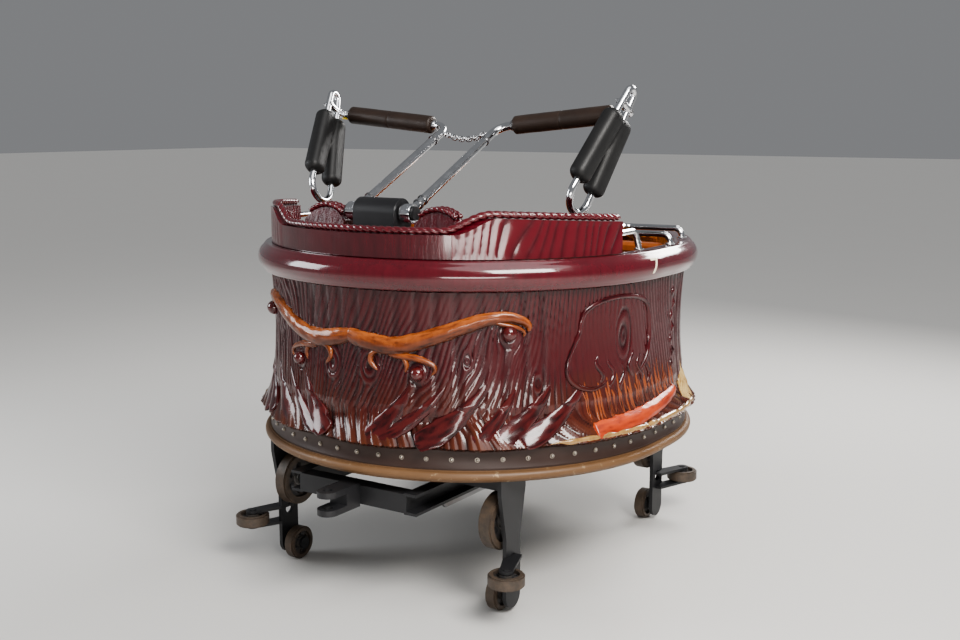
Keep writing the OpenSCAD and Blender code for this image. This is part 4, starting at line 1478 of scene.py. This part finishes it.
    def deck(self) -> None:
        """Carves the sloping deck in front of the riders' feet, with grain that runs out from its lip."""
        form = self.form
        low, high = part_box("front_deck")
        reach = form.wall_in - 0.0195
        y0, z0 = low.y + 0.110, high.z - 0.0103
        y1, z1 = form.wall_in + form.straight, form.rim_z - 0.022
        half = math.sqrt(reach**2 - (y0 - form.straight) ** 2)
        rows, back = 56, 2

        def shape(u: float, v: float) -> tuple[Point, float]:
            """Goes out over the carved top and back through the deck's body."""
            row = v * (rows + back)
            share = min(1.0, row / rows) if row <= rows else max(0.0, 1 - (row - rows) / back)
            x = half * (2 * u - 1)
            edge = form.straight + math.sqrt(max(0.0, reach**2 - x * x))
            y = y0 + (edge - y0) * share
            z = z0 + (z1 - z0) * (y - y0) / (y1 - y0)
            fan = x * (1 - 0.25 * share) + 0.045 * noise.noise(Vector((x * 2, y * 2, 1.0)))
            fan += 0.010 * noise.noise(Vector((x * 9, y * 5, 2.0)))
            fine = strand(fan / 0.0155 + noise.noise(Vector((x * 5, y * 3, 0))))
            tone = 0.7 * strand(fan / 0.046) + 0.3 * fine
            rise = 0.0065 * tone + 0.0005 if row <= rows else -0.004
            return Vector((x, y, z + rise)), tone

        blank = Blank("carved_deck").wrap(240, rows + back, shape, round_along=True, capped=True)
        blank.finish(self.looks["orange_carved"], slot="orange_wood", sharp_deg=CARVED_DEG)

    def bolts(self) -> None:
        """Sets dome-headed bolts round the dark band under the roots."""
        form, count, dome = self.form, 60, 0.0072
        low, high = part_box("base_ring")
        ring = Blank("band_bolts")
        for i in range(count):
            s = form.length * (i + 0.5) / count
            at, out = form.spot(s, form.waist + 0.0275, (low.z + high.z) / 2), form.outward(s)
            drum(ring, at - out * 0.004, at + out * 0.003, 0.0100, 12)
            blob(ring, at + out * 0.003, (dome, dome, dome), 12)
        ring.finish(self.looks["bolt_steel"], slot="dark_ring")


def smooth(points: Sequence[Point]) -> list[Point]:
    """Runs a smooth curve through points."""
    out, steps = [], 8
    for i in range(len(points) - 1):
        a, b = points[max(i - 1, 0)], points[i]
        c, d = points[i + 1], points[min(i + 2, len(points) - 1)]
        for k in range(steps):
            t = k / steps
            square = (2 * a - 5 * b + 4 * c - d) * t * t
            out.append(0.5 * ((2 * b) + (c - a) * t + square + (3 * b - a - 3 * c + d) * t**3))
    out.append(points[-1].copy())
    return out


# Restraints and rails.

ARM_HINGE = Vector((0, -0.750, 1.631))


@dataclass(frozen=True)
class LoopFrame:
    """The measures that the raised restraint is drawn from, on the right-hand side."""

    hinge: Point
    arm_x: float = 0.140
    arm_len: float = 0.774
    arm_rise: float = 26.5
    lap_x: float = 0.790
    tube_r: float = 0.019
    loop_r: float = 0.0157
    loop_len: float = 0.480
    loop_gap: float = 0.150
    hoop_gap: float = 0.056
    hoop_z: float = 0.052
    loop_back: float = 0.055
    tilt: float = -29.5
    lean: float = 12.5
    eye_back: float = 0.075
    eye_in: float = 0.026
    eye_r: float = 0.012

    @property
    def along(self) -> Point:
        """The direction in which the arm rises."""
        q = math.radians(self.arm_rise)
        return Vector((0, math.cos(q), math.sin(q)))

    @property
    def pivot(self) -> Point:
        """The middle of the arm's hub."""
        return self.hinge + RIGHT * self.arm_x

    @property
    def arm_end(self) -> Point:
        """The corner where the arm turns into the lap tube."""
        return self.pivot + self.along * self.arm_len

    @property
    def eye(self) -> Point:
        """The middle of the eye that holds one end of the chain."""
        return self.arm_end - self.along * self.eye_back - RIGHT * self.eye_in

    @property
    def lap_out(self) -> Point:
        """The lap tube's outer end."""
        return Vector((self.lap_x, self.arm_end.y, self.arm_end.z + 0.062))

    def on_lap(self, share: float) -> Point:
        """Gives the place a share of the way out along the lap tube."""
        return self.arm_end.lerp(self.lap_out, share)

    @property
    def loop(self) -> Matrix:
        """The loop's own frame."""
        tilt = Matrix.Rotation(math.radians(self.tilt), 4, "X")
        return Matrix.Translation(self.lap_out) @ tilt @ Matrix.Rotation(math.radians(self.lean), 4, "Y")

    @property
    def leg_lean(self) -> float:
        """How far each leg of the loop leans, in radians."""
        return math.asin((self.loop_gap - self.hoop_gap) / 2 / self.loop_len)

    def leg(self, e: int) -> Matrix:
        """The frame of the loop's front leg (1) or rear leg (-1), which runs down from its origin."""
        r, q = self.hoop_gap / 2, self.leg_lean
        foot = Matrix.Translation((0, e * r * math.cos(q) - self.loop_back, self.hoop_z + r * math.sin(q)))
        return self.loop @ foot @ Matrix.Rotation(e * q, 4, "X")

    def loop_path(self) -> list[Point]:
        """The middle line of the whole loop."""
        q = self.leg_lean
        out = []
        for z, r, a, b in (
            (self.hoop_z, self.hoop_gap / 2, q, math.pi - q),
            (self.hoop_z - self.loop_len, self.loop_gap / 2, math.pi - q, TAU + q),
        ):
            for i in range(33):
                t = a + (b - a) * i / 32
                out.append(self.loop @ Vector((0, r * math.cos(t) - self.loop_back, z + r * math.sin(t))))
        return out


@dataclass
class Restraints:
    """Builds both raised restraints, drawn on the right, and the chain between them."""

    looks: dict[str, bpy.types.Material]
    frame: LoopFrame

    def build(self) -> None:
        """Makes the pieces of both sides."""
        for side, _ in SIDES:
            self.tubes(side)
            self.lap_pad(side)
            self.bolster(side)
            self.fittings(side)
        self.chain()

    def sided(self, blank: Blank, side: str, look: str, slot: str, sharp_deg: float) -> bpy.types.Object:
        """Finishes a blank on its side's body, and mirrors it first for the left side.

        Args:
            blank: The blank, drawn on the right.
            side: Its side.
            look: Its finish's name.
            slot: Handed on to the blank's finish.
            sharp_deg: Edges that turn more than this stay sharp.

        Returns:
            The piece.
        """
        if side == "left":
            bmesh.ops.transform(blank.bm, matrix=Matrix.Scale(-1, 4, RIGHT), verts=blank.bm.verts)
        return blank.finish(self.looks[look], f"restraint_{side}", slot, sharp_deg)

    def tubes(self, side: str) -> None:
        """Bends the chrome arm, lap tube and loop."""
        f = self.frame
        turned = f.loop.to_3x3()
        blank = Blank(f"chrome_restraint_{side}")
        path = divided(bent([f.pivot, f.arm_end, f.lap_out], 0.070, 24), 0.012)
        blank.sweep(path[2:], round_section(f.tube_r), 36)
        blank.sweep(f.loop_path(), round_section(f.loop_r), 32, closed=True, up=turned @ RIGHT)
        across = turned @ FORWARD
        drum(blank, f.lap_out + across * 0.0095, f.lap_out - across * 0.0995, f.loop_r + 0.002, 32, 0.003)
        for half, r in ((0.0255, 0.0395), (0.017, 0.0397)):
            drum(blank, f.pivot - RIGHT * half, f.pivot + RIGHT * half, r, 48, 0.002)
        turns = [TAU * i / 24 for i in range(24)]
        ring = [f.eye + Vector((f.eye_r * math.cos(q), f.eye_r * math.sin(q), 0)) for q in turns]
        blank.sweep(ring, round_section(0.0039), 12, closed=True, up=UP)
        piece = self.sided(blank, side, "chrome_tube", "chrome_tube", 50)
        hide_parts(f"restraint_{side}")

    def lap_pad(self, side: str) -> None:
        """Moulds the round lap foam, with a ring seam at its middle."""
        f, steps = self.frame, 120
        a, b = f.on_lap(0.131), f.on_lap(0.879)
        path = [a.lerp(b, i / steps) for i in range(steps + 1)]
        length = (b - a).length

        def section(u: float, v: float) -> tuple[float, float]:
            """Gives the foam's section."""
            gone, x, y = v * length, math.cos(TAU * u), math.sin(TAU * u)
            end = min(gone, length - gone)
            r = 0.0418 - 0.012 * max(0.0, 1 - end / 0.010) ** 2
            r -= 0.0026 * math.exp(-(((gone - length * 0.5) / 0.0035) ** 2))
            r -= 0.0012 * (0.5 + 0.5 * noise.noise(Vector((gone * 14, x * 1.5, y * 1.5))))
            return r * x, r * y

        blank = Blank(f"lap_foam_{side}").sweep(path, section, 40)
        piece = self.sided(blank, side, "lap_foam", "lap_foam", 60)
        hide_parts(f"lap_pad_{side}")

    def bolster(self, side: str) -> None:
        """Moulds the side bolster, whose two pads grow together at the top."""
        f, steps, square = self.frame, 60, 2.7
        top, length = 0.105, f.loop_len - 0.136
        blank = Blank(f"bolster_{side}")
        for e in (1, -1):
            leg = f.leg(e)
            path = [leg @ Vector((0, 0, -top - length * i / steps)) for i in range(steps + 1)]

            def section(u: float, v: float) -> tuple[float, float]:
                """Gives the pad's section, a rounded oblong that draws in at its ends."""
                gone = v * length
                end = min(gone, length - gone)
                draw = 1 - 0.42 * max(0.0, 1 - end / 0.030) ** 2.2
                x, y = math.cos(TAU * u), math.sin(TAU * u)
                fat = (abs(x) ** square + abs(y) ** square) ** (-1 / square)
                return 0.0412 * draw * fat * x, 0.0510 * draw * fat * y

            blank.sweep(path, section, 40, up=leg.to_3x3() @ FORWARD)
        piece = self.sided(blank, side, "black_foam", "black_foam", 80)
        fused(piece, 0.0055, 6)
        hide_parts(f"bolster_pads_{side}")

    def fittings(self, side: str) -> None:
        """Adds collars, clamp bolts and the small yellow tag."""
        f = self.frame
        way = (f.lap_out - f.arm_end).normalized()
        out = f.loop.to_3x3() @ RIGHT
        steel = Blank(f"restraint_fittings_{side}")
        rings = [(f.on_lap(share), way, 0.007, f.tube_r + 0.0052, 36, 0.0015) for share in (0.118, 0.892)]
        for gone in (0.075, 0.110, 0.640):
            rings.append((f.pivot + f.along * gone, f.along, 0.006, f.tube_r + 0.0045, 36, 0.0015))
        rings += [(f.loop @ Vector((0, y, 0)), out, 0.024, 0.0085, 6, 0.001) for y in (-0.018, -0.092)]
        for at, axis, half, r, sides, bevel in rings:
            drum(steel, at - axis * half, at + axis * half, r, sides, bevel)
        self.sided(steel, side, "fitting_steel", "chrome_tube", 40)
        tag = Blank(f"tag_{side}")
        lift = -way.cross(FORWARD).normalized()
        turn = Matrix((way, FORWARD, lift)).transposed().to_4x4()
        place = Matrix.Translation(f.on_lap(0.93) + lift * (f.tube_r + 0.0028)) @ turn
        bmesh.ops.create_cube(tag.bm, size=1, matrix=place @ Matrix.Diagonal((0.034, 0.026, 0.004, 1)))
        bmesh.ops.bevel(tag.bm, geom=tag.bm.edges[:], offset=0.0012, segments=2, affect="EDGES")
        self.sided(tag, side, "yellow_paint", "chrome_tube", 40)

    def chain(self) -> None:
        """Hangs the chain's round links between the two arms, each turned a quarter from the last."""
        f = self.frame
        wire, link_r, sag, links, steps = 0.004, 0.010, 0.022, 11, 32
        crossing = 2 * wire + 0.00048
        end_x = f.arm_x - f.eye_in - f.eye_r
        arc = (end_x**2 + sag**2) / (2 * sag)
        step = (2 * math.asin(end_x / arc) + crossing / arc) / links
        half = (2 * arc * math.tan(step / 2) + crossing) / 2
        eye = f.eye
        blank = Blank("steel_chain")
        for i in range(links):
            turn = (i - (links - 1) / 2) * step
            at = Vector((arc * math.sin(turn), eye.y, eye.z + arc * (1 - math.cos(turn)) - sag))
            quarter = Matrix.Rotation(math.pi / 2 if i % 2 == 0 else 0, 4, "X")
            place = Matrix.Translation(at) @ Matrix.Rotation(-turn, 4, "Y") @ quarter
            path = []
            for k in range(steps):
                w = TAU * (k + 0.5) / steps
                x = math.copysign(half - link_r, math.cos(w)) + link_r * math.cos(w)
                path.append(place @ Vector((x, link_r * math.sin(w), 0)))
            blank.sweep(path, round_section(wire * 0.97), 12, closed=True, up=place.to_3x3() @ UP)
        piece = blank.finish(self.looks["chain_steel"], "restraint_right", "chain_steel", 60)
        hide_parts("chain")


def fused(piece: bpy.types.Object, voxel: float, rounds: int) -> None:
    """Grows a piece's shells together into one smooth skin.

    Args:
        piece: The piece.
        voxel: The size of the remesh.
        rounds: How often it is smoothed after.
    """
    remesh = piece.modifiers.new("grown", "REMESH")
    remesh.mode = "VOXEL"
    remesh.voxel_size = voxel
    soften = piece.modifiers.new("soft", "SMOOTH")
    soften.factor, soften.iterations = 0.5, rounds
    bake(piece)


def bake(piece: bpy.types.Object) -> None:
    """Applies a piece's modifiers and keeps its finish and smooth shading."""
    graph = bpy.context.evaluated_depsgraph_get()
    graph.update()
    mesh = bpy.data.meshes.new_from_object(piece.evaluated_get(graph))
    old, materials = piece.data, list(piece.data.materials)
    piece.modifiers.clear()
    piece.data = mesh
    mesh.name = piece.name
    mesh.materials.clear()
    for material in materials:
        mesh.materials.append(material)
    for poly in mesh.polygons:
        poly.use_smooth = True
    bpy.data.meshes.remove(old)


def grab_rails(looks: dict[str, bpy.types.Material]) -> None:
    """Bends the chrome grab rails beside each rider and stands them on flanges.

    Args:
        looks: The finishes by name.
    """
    rim_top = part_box("rim")[1].z
    high, low = rim_top + 0.044, rim_top + 0.001
    wing_r, wing_y = 0.897, 0.235
    wing_x = wing_r * math.cos(math.asin(wing_y / wing_r))
    rear, front, stub = (0.907, 0.130), (0.831, 0.430), (wing_x + 0.022, -0.140)
    inner = [(0.560, y, high) for y in (0.090, 0.400)]
    long = [(*rear, low), (*rear, high), *inner, (*front, high), (*front, low)]
    short = [(wing_x + 0.006, y, high + 0.036) for y in (-0.2995, -0.150)] + [(*stub, low)]
    blank = Blank("chrome_rails")
    for flip in (1, -1):
        for path in (long, short):
            corners = [Vector((flip * x, y, z)) for x, y, z in path]
            blank.sweep(divided(bent(corners, 0.036, 18), 0.008), round_section(0.0138), 32)
        for x, y in (rear, front, stub):
            at = Vector((flip * x, y, rim_top + 0.0004))
            drum(blank, at, at + UP * 0.0052, 0.0236, 36, 0.0012)
            for k in range(3):
                turn = TAU * k / 3 + 0.5
                spin = Vector((math.cos(turn), math.sin(turn), 0)) * 0.0185
                blob(blank, at + spin + UP * 0.0045, (0.0032, 0.0032, 0.0024), 10)
    piece = blank.finish(looks["chrome_tube"], slot="chrome_tube", sharp_deg=50)
    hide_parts("grab_bars")


# Upholstery.


@dataclass
class Upholstery:
    """Sews the seat and back cushions."""

    looks: dict[str, bpy.types.Material]
    mid_x: float = 0.290
    width: float = 0.430
    ease: float = 0.001

    def build(self) -> None:
        """Makes the four cushions."""
        riders = (("right", RIGHT * self.mid_x), ("left", RIGHT * -self.mid_x))
        low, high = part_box("seat_cushions")
        middle, half = (low + high) / 2, (high - low) / 2
        across = self.width / 2 - self.ease
        seat, size = Vector((0, middle.y, middle.z)), (across, half.y - self.ease, half.z - self.ease)
        for side, off in riders:
            piece = self.cushion(f"seat_cushion_{side}", Matrix.Translation(seat + off), size, 0.036)
            if side == "right":
                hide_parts("seat_cushions")
        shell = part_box("seat_shell")
        foot, top = Vector((0, -0.560, low.z)), Vector((0, -0.690, shell[1].z))
        lean = math.atan2(foot.y - top.y, top.z - foot.z)
        base = Matrix.Translation(foot) @ Matrix.Rotation(lean, 4, "X")
        upright = Matrix.Rotation(-math.pi / 2, 4, "X")
        for side, off in riders:
            place = base @ Matrix.Translation(off + Vector((0, 0.0255, 0.292))) @ upright
            piece = self.cushion(f"back_cushion_{side}", place, (across, 0.189, 0.0248), 0.022)
            if side == "right":
                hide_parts("back_cushions")

    def cushion(
        self, name: str, place: Matrix, half: tuple[float, float, float], round_r: float
    ) -> bpy.types.Object:
        """Sews one cushion: crowned panels between channels, with piping round it.

        Args:
            name: The piece's name.
            place: Where it lies. Its own upper side is its face.
            half: Half its three sizes.
            round_r: How round its edges are.

        Returns:
            The cushion.
        """
        blank = Blank(name)
        bmesh.ops.create_cube(blank.bm, size=2)
        bmesh.ops.subdivide_edges(blank.bm, edges=blank.bm.edges[:], cuts=47, use_grid_fill=True)
        a, b, c = half
        border, stitch = 0.86, 0.0050
        limits = (a - round_r, b - round_r, c - round_r * 0.9)
        for vert in blank.bm.verts:
            p = Vector(math.copysign(abs(q) ** 0.85, q) * size for q, size in zip(vert.co, half))
            core = Vector(max(-limit, min(limit, q)) for limit, q in zip(limits, p))
            off = p - core
            if off.length > 1e-7:
                p = core + off.normalized() * round_r * 0.98
                p.z = max(-c, min(c, p.z))
            if vert.co.z > 0.2:
                u, v = p.x / a, p.y / b
                crown = (1 - u * u) * (1 - v * v)
                seam = 0.0
                if abs(v) < border:
                    seam = sum(math.exp(-(((p.x - k * a * 0.36) / stitch) ** 2)) for k in (-1, 1))
                cross = math.exp(-(((abs(v) - border) * b / stitch) ** 2)) if abs(u) < 0.93 else 0.0
                puff = noise.noise(Vector((p.x * 11, p.y * 11, 3.0))) * 0.0016
                p.z += -0.006 * (1 - crown) - 0.0065 * min(1.0, seam + cross) + puff * crown
                p.z = min(p.z, c)
            vert.co = place @ p
        ring = self.outline(a - 0.003, b - 0.003, round_r * 1.1)
        path = [place @ Vector((x, y, c - round_r * 0.75)) for x, y in ring]
        blank.sweep(path, round_section(0.0042), 10, closed=True)
        piece = blank.finish(self.looks["seat_vinyl"], slot="seat_vinyl", sharp_deg=70)
        return piece

    @staticmethod
    def outline(a: float, b: float, r: float) -> list[tuple[float, float]]:
        """Gives a rounded oblong's outline."""
        out = []
        for x, y, start in ((a - r, b - r, 0), (r - a, b - r, 90), (r - a, r - b, 180), (a - r, r - b, 270)):
            turns = [math.radians(start + 15 * k) for k in range(7)]
            out += [(x + r * math.cos(q), y + r * math.sin(q)) for q in turns]
        return out


# Looks and studio.


# The gelcoats: name, colour, colour in hollows and on high places, roughness and grain.
CARVED_GELCOATS = (
    ("wing_gelcoat", (0.068, 0.0055, 0.0100), (0.014, 0.0022, 0.0030), (0.105, 0.0085, 0.014)),
    ("hanging_glaze", (0.11, 0.024, 0.010), (0.012, 0.003, 0.002), (0.24, 0.060, 0.019)),
    ("creeping_glaze", (0.046, 0.0060, 0.0066), (0.0080, 0.0020, 0.0017), (0.092, 0.0140, 0.0130)),
    ("gold_glaze", (0.40, 0.245, 0.085), (0.11, 0.048, 0.015), (0.62, 0.46, 0.21)),
    ("branch_glaze", (0.170, 0.041, 0.0115), (0.020, 0.0055, 0.0035), (0.40, 0.118, 0.031), 0.24),
    ("log_glaze", (0.36, 0.044, 0.012), (0.15, 0.016, 0.006), (0.50, 0.076, 0.019), 0.36),
    ("orange_carved", (0.38, 0.100, 0.016), (0.085, 0.016, 0.005), (0.55, 0.20, 0.040), 0.24),
)
PLAIN_GELCOATS = (
    ("gold_plain", (0.34, 0.20, 0.070), (0.12, 0.055, 0.018), (0.52, 0.36, 0.15)),
    ("rim_gelcoat", (0.088, 0.0065, 0.0120), (0.050, 0.0040, 0.0070), (0.115, 0.0085, 0.016), 0.13),
    ("rope_gelcoat", (0.100, 0.010, 0.015), (0.040, 0.005, 0.007), (0.14, 0.016, 0.020), 0.12),
    ("knob_glaze", (0.085, 0.010, 0.010), (0.04, 0.005, 0.005), (0.12, 0.018, 0.015), 0.08),
    ("shell_gelcoat", (0.070, 0.0060, 0.0105), (0.022, 0.0026, 0.0040), (0.100, 0.0085, 0.014), 0.16, 0.8),
    ("orange_grain", (0.34, 0.085, 0.014), (0.10, 0.020, 0.006), (0.50, 0.17, 0.034), 0.24, 1.0),
)
# The gelcoats that are worn towards their foot: name, colours, colour where worn and the height it ends at.
WORN_GELCOATS = (
    (
        "carved_gelcoat", (0.036, 0.0040, 0.0060), (0.0055, 0.0015, 0.0014), (0.066, 0.0078, 0.0100),
        (0.075, 0.025, 0.009), 1.02,
    ),
    (
        "root_glaze", (0.040, 0.0048, 0.0060), (0.0060, 0.0016, 0.0014), (0.074, 0.0095, 0.0104),
        (0.11, 0.038, 0.013), 0.94,
    ),
)


def make_looks() -> dict[str, bpy.types.Material]:
    """Builds every finish.

    Returns:
        The finishes by name.
    """
    finishes = [
        *(Gelcoat(*row[:4], carved=True, worn=row[4], worn_top=row[5]) for row in WORN_GELCOATS),
        *(Gelcoat(*row, carved=True) for row in CARVED_GELCOATS),
        *(Gelcoat(*row) for row in PLAIN_GELCOATS),
        Plated("chrome_tube"),
        Plated("chain_steel", (0.62, 0.62, 0.63), 0.16),
        Plated("fitting_steel", (0.55, 0.55, 0.56), 0.20),
        Plated("bolt_steel", (0.42, 0.38, 0.33), 0.28),
        Foam("lap_foam", (0.020, 0.0125, 0.0095), (0.040, 0.026, 0.020), 0.46),
        Foam("black_foam", (0.0085, 0.0085, 0.009), (0.018, 0.018, 0.018), 0.52),
        Vinyl("seat_vinyl", (0.018, 0.013, 0.012), (0.045, 0.030, 0.026)),
        Paint("tan_rail", (0.120, 0.062, 0.026), (0.32, 0.24, 0.15), 0.40, 0.60),
        Paint("dark_ring", (0.028, 0.013, 0.009), (0.13, 0.09, 0.06), 0.36, 0.66),
        Paint("black_steel", (0.012, 0.012, 0.0135), (0.16, 0.12, 0.09), 0.38, 0.68),
        Paint("cream_paint", (0.80, 0.74, 0.56), (0.35, 0.28, 0.18), 0.45, 0.70),
        Paint("yellow_paint", (0.85, 0.62, 0.03), (0.3, 0.3, 0.28), 0.45, 0.70),
        BrushedSteel("bare_steel", (0.42, 0.42, 0.43)),
        RibbedMat("floor_grey"),
        StudioFloor(),
    ]
    return {finish.name: finish.make() for finish in finishes}


NODE_LOOKS = {
    "base_rail": "tan_rail",
    "base_ring": "dark_ring",
    "floor_pan": "floor_grey",
    "front_deck": "orange_grain",
    "brake_fin": "bare_steel",
    **dict.fromkeys(("rear_deck", "seat_shell", "headrests"), "shell_gelcoat"),
    **dict.fromkeys(("pivot_block", "chassis_frame", "axle_beams", "drawbar", "clevis"), "black_steel"),
}


def dress_nodes(nodes: dict[str, bpy.types.Object], looks: dict[str, bpy.types.Material]) -> None:
    """Gives every CAD node its finish.

    Args:
        nodes: The frame's nodes.
        looks: The finishes by name.
    """
    tyres: dict[tuple[str, ...], bpy.types.Material] = {}
    for name, node in nodes.items():
        look = looks.get(NODE_LOOKS.get(name, ""))
        if "_wheel_" in name:
            kind, end = name.split("_wheel_")
            low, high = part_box(name)
            centre = tuple((low + high) / 2)
            upright = kind == "guide"
            key = (kind, end) if upright else (kind, end.split("_")[0])
            if key not in tyres:
                axle = Axle.UPRIGHT if upright else Axle.ACROSS
                tyres[key] = Tyred("tyre_" + "_".join(key), centre, axle, (high.y - low.y) / 2).make()
            look = tyres[key]
        elif name.startswith("carrier"):
            look = looks["black_steel"]
        if look is None:
            look = looks["chrome_tube"] if "restraint" in name else looks["rim_gelcoat"]
        node.data.materials.clear()
        node.data.materials.append(look)


def stand(name: str, data: bpy.types.ID, at: Point, target: Point) -> bpy.types.Object:
    """Stands a light or a camera in the scene.

    Args:
        name: Its name.
        data: The light or the camera.
        at: Where it stands.
        target: What it faces.

    Returns:
        Its object.
    """
    made = bpy.data.objects.new(name, data)
    made.matrix_world = Matrix.Translation(at) @ (target - at).to_track_quat("-Z", "Y").to_matrix().to_4x4()
    bpy.context.scene.collection.objects.link(made)
    return made


def light_up() -> None:
    """Sets the pale surroundings, four soft boxes and a broad light from above."""
    world = bpy.data.worlds.new("studio")
    world.use_nodes = True
    back = world.node_tree.nodes["Background"]
    back.inputs["Color"].default_value = (0.60, 0.61, 0.63, 1)
    back.inputs["Strength"].default_value = 0.34
    bpy.context.scene.world = world
    for name, at, size, power, colour in (
        ("key_box", (4.2, -2.6, 4.6), (3.0, 2.0), 400, (1.0, 0.97, 0.93)),
        ("fill_box", (-4.8, -3.2, 2.8), (2.4, 2.4), 130, (0.94, 0.97, 1.0)),
        ("rear_box", (1.2, 5.2, 4.0), (4.0, 1.4), 280, (1.0, 0.98, 0.96)),
        ("low_box", (3.6, -5.4, 1.2), (3.4, 0.6), 90, (1.0, 0.96, 0.92)),
    ):
        data = bpy.data.lights.new(name, "AREA")
        data.shape = "RECTANGLE"
        data.size, data.size_y = size
        data.energy, data.color = power, colour
        stand(name, data, Vector(at), UP * 1.15)
    sun = bpy.data.lights.new("sky_panel", "SUN")
    sun.energy, sun.angle = 1.1, math.radians(50)
    stand("sky_panel", sun, Vector((0.5, -0.25, 1)), Vector((0, 0, 0)))


def studio(looks: dict[str, bpy.types.Material]) -> None:
    """Sets the floor, the lights and the camera.

    Args:
        looks: The finishes by name.
    """
    blank = Blank("studio_ground")
    bmesh.ops.create_grid(blank.bm, x_segments=1, y_segments=1, size=60)
    floor = blank.finish(looks["studio_floor"], outward=False)
    light_up()
    data = bpy.data.cameras.new("view")
    data.lens = 45
    target, reach = UP * 1.07, 5.70
    azimuth, elevation = math.radians(33), math.radians(9.5)
    level = Vector((math.sin(azimuth), -math.cos(azimuth), 0))
    at = target + reach * (level * math.cos(elevation) + UP * math.sin(elevation))
    scene = bpy.context.scene
    scene.camera = stand("view", data, at, target)
    scene.view_settings.view_transform = "AgX"
    scene.view_settings.look = "AgX - Medium High Contrast"


def main() -> None:
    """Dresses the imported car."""
    logging.basicConfig(level=logging.INFO, format="%(message)s")
    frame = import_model()
    looks = make_looks()
    dress_nodes(frame["nodes"], looks)
    form = TubForm.read()
    Tub(form, Bark(form), looks).build()
    Restraints(looks, LoopFrame(ARM_HINGE)).build()
    grab_rails(looks)
    Upholstery(looks).build()
    studio(looks)
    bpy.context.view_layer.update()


if __name__ == "__main__":
    main()
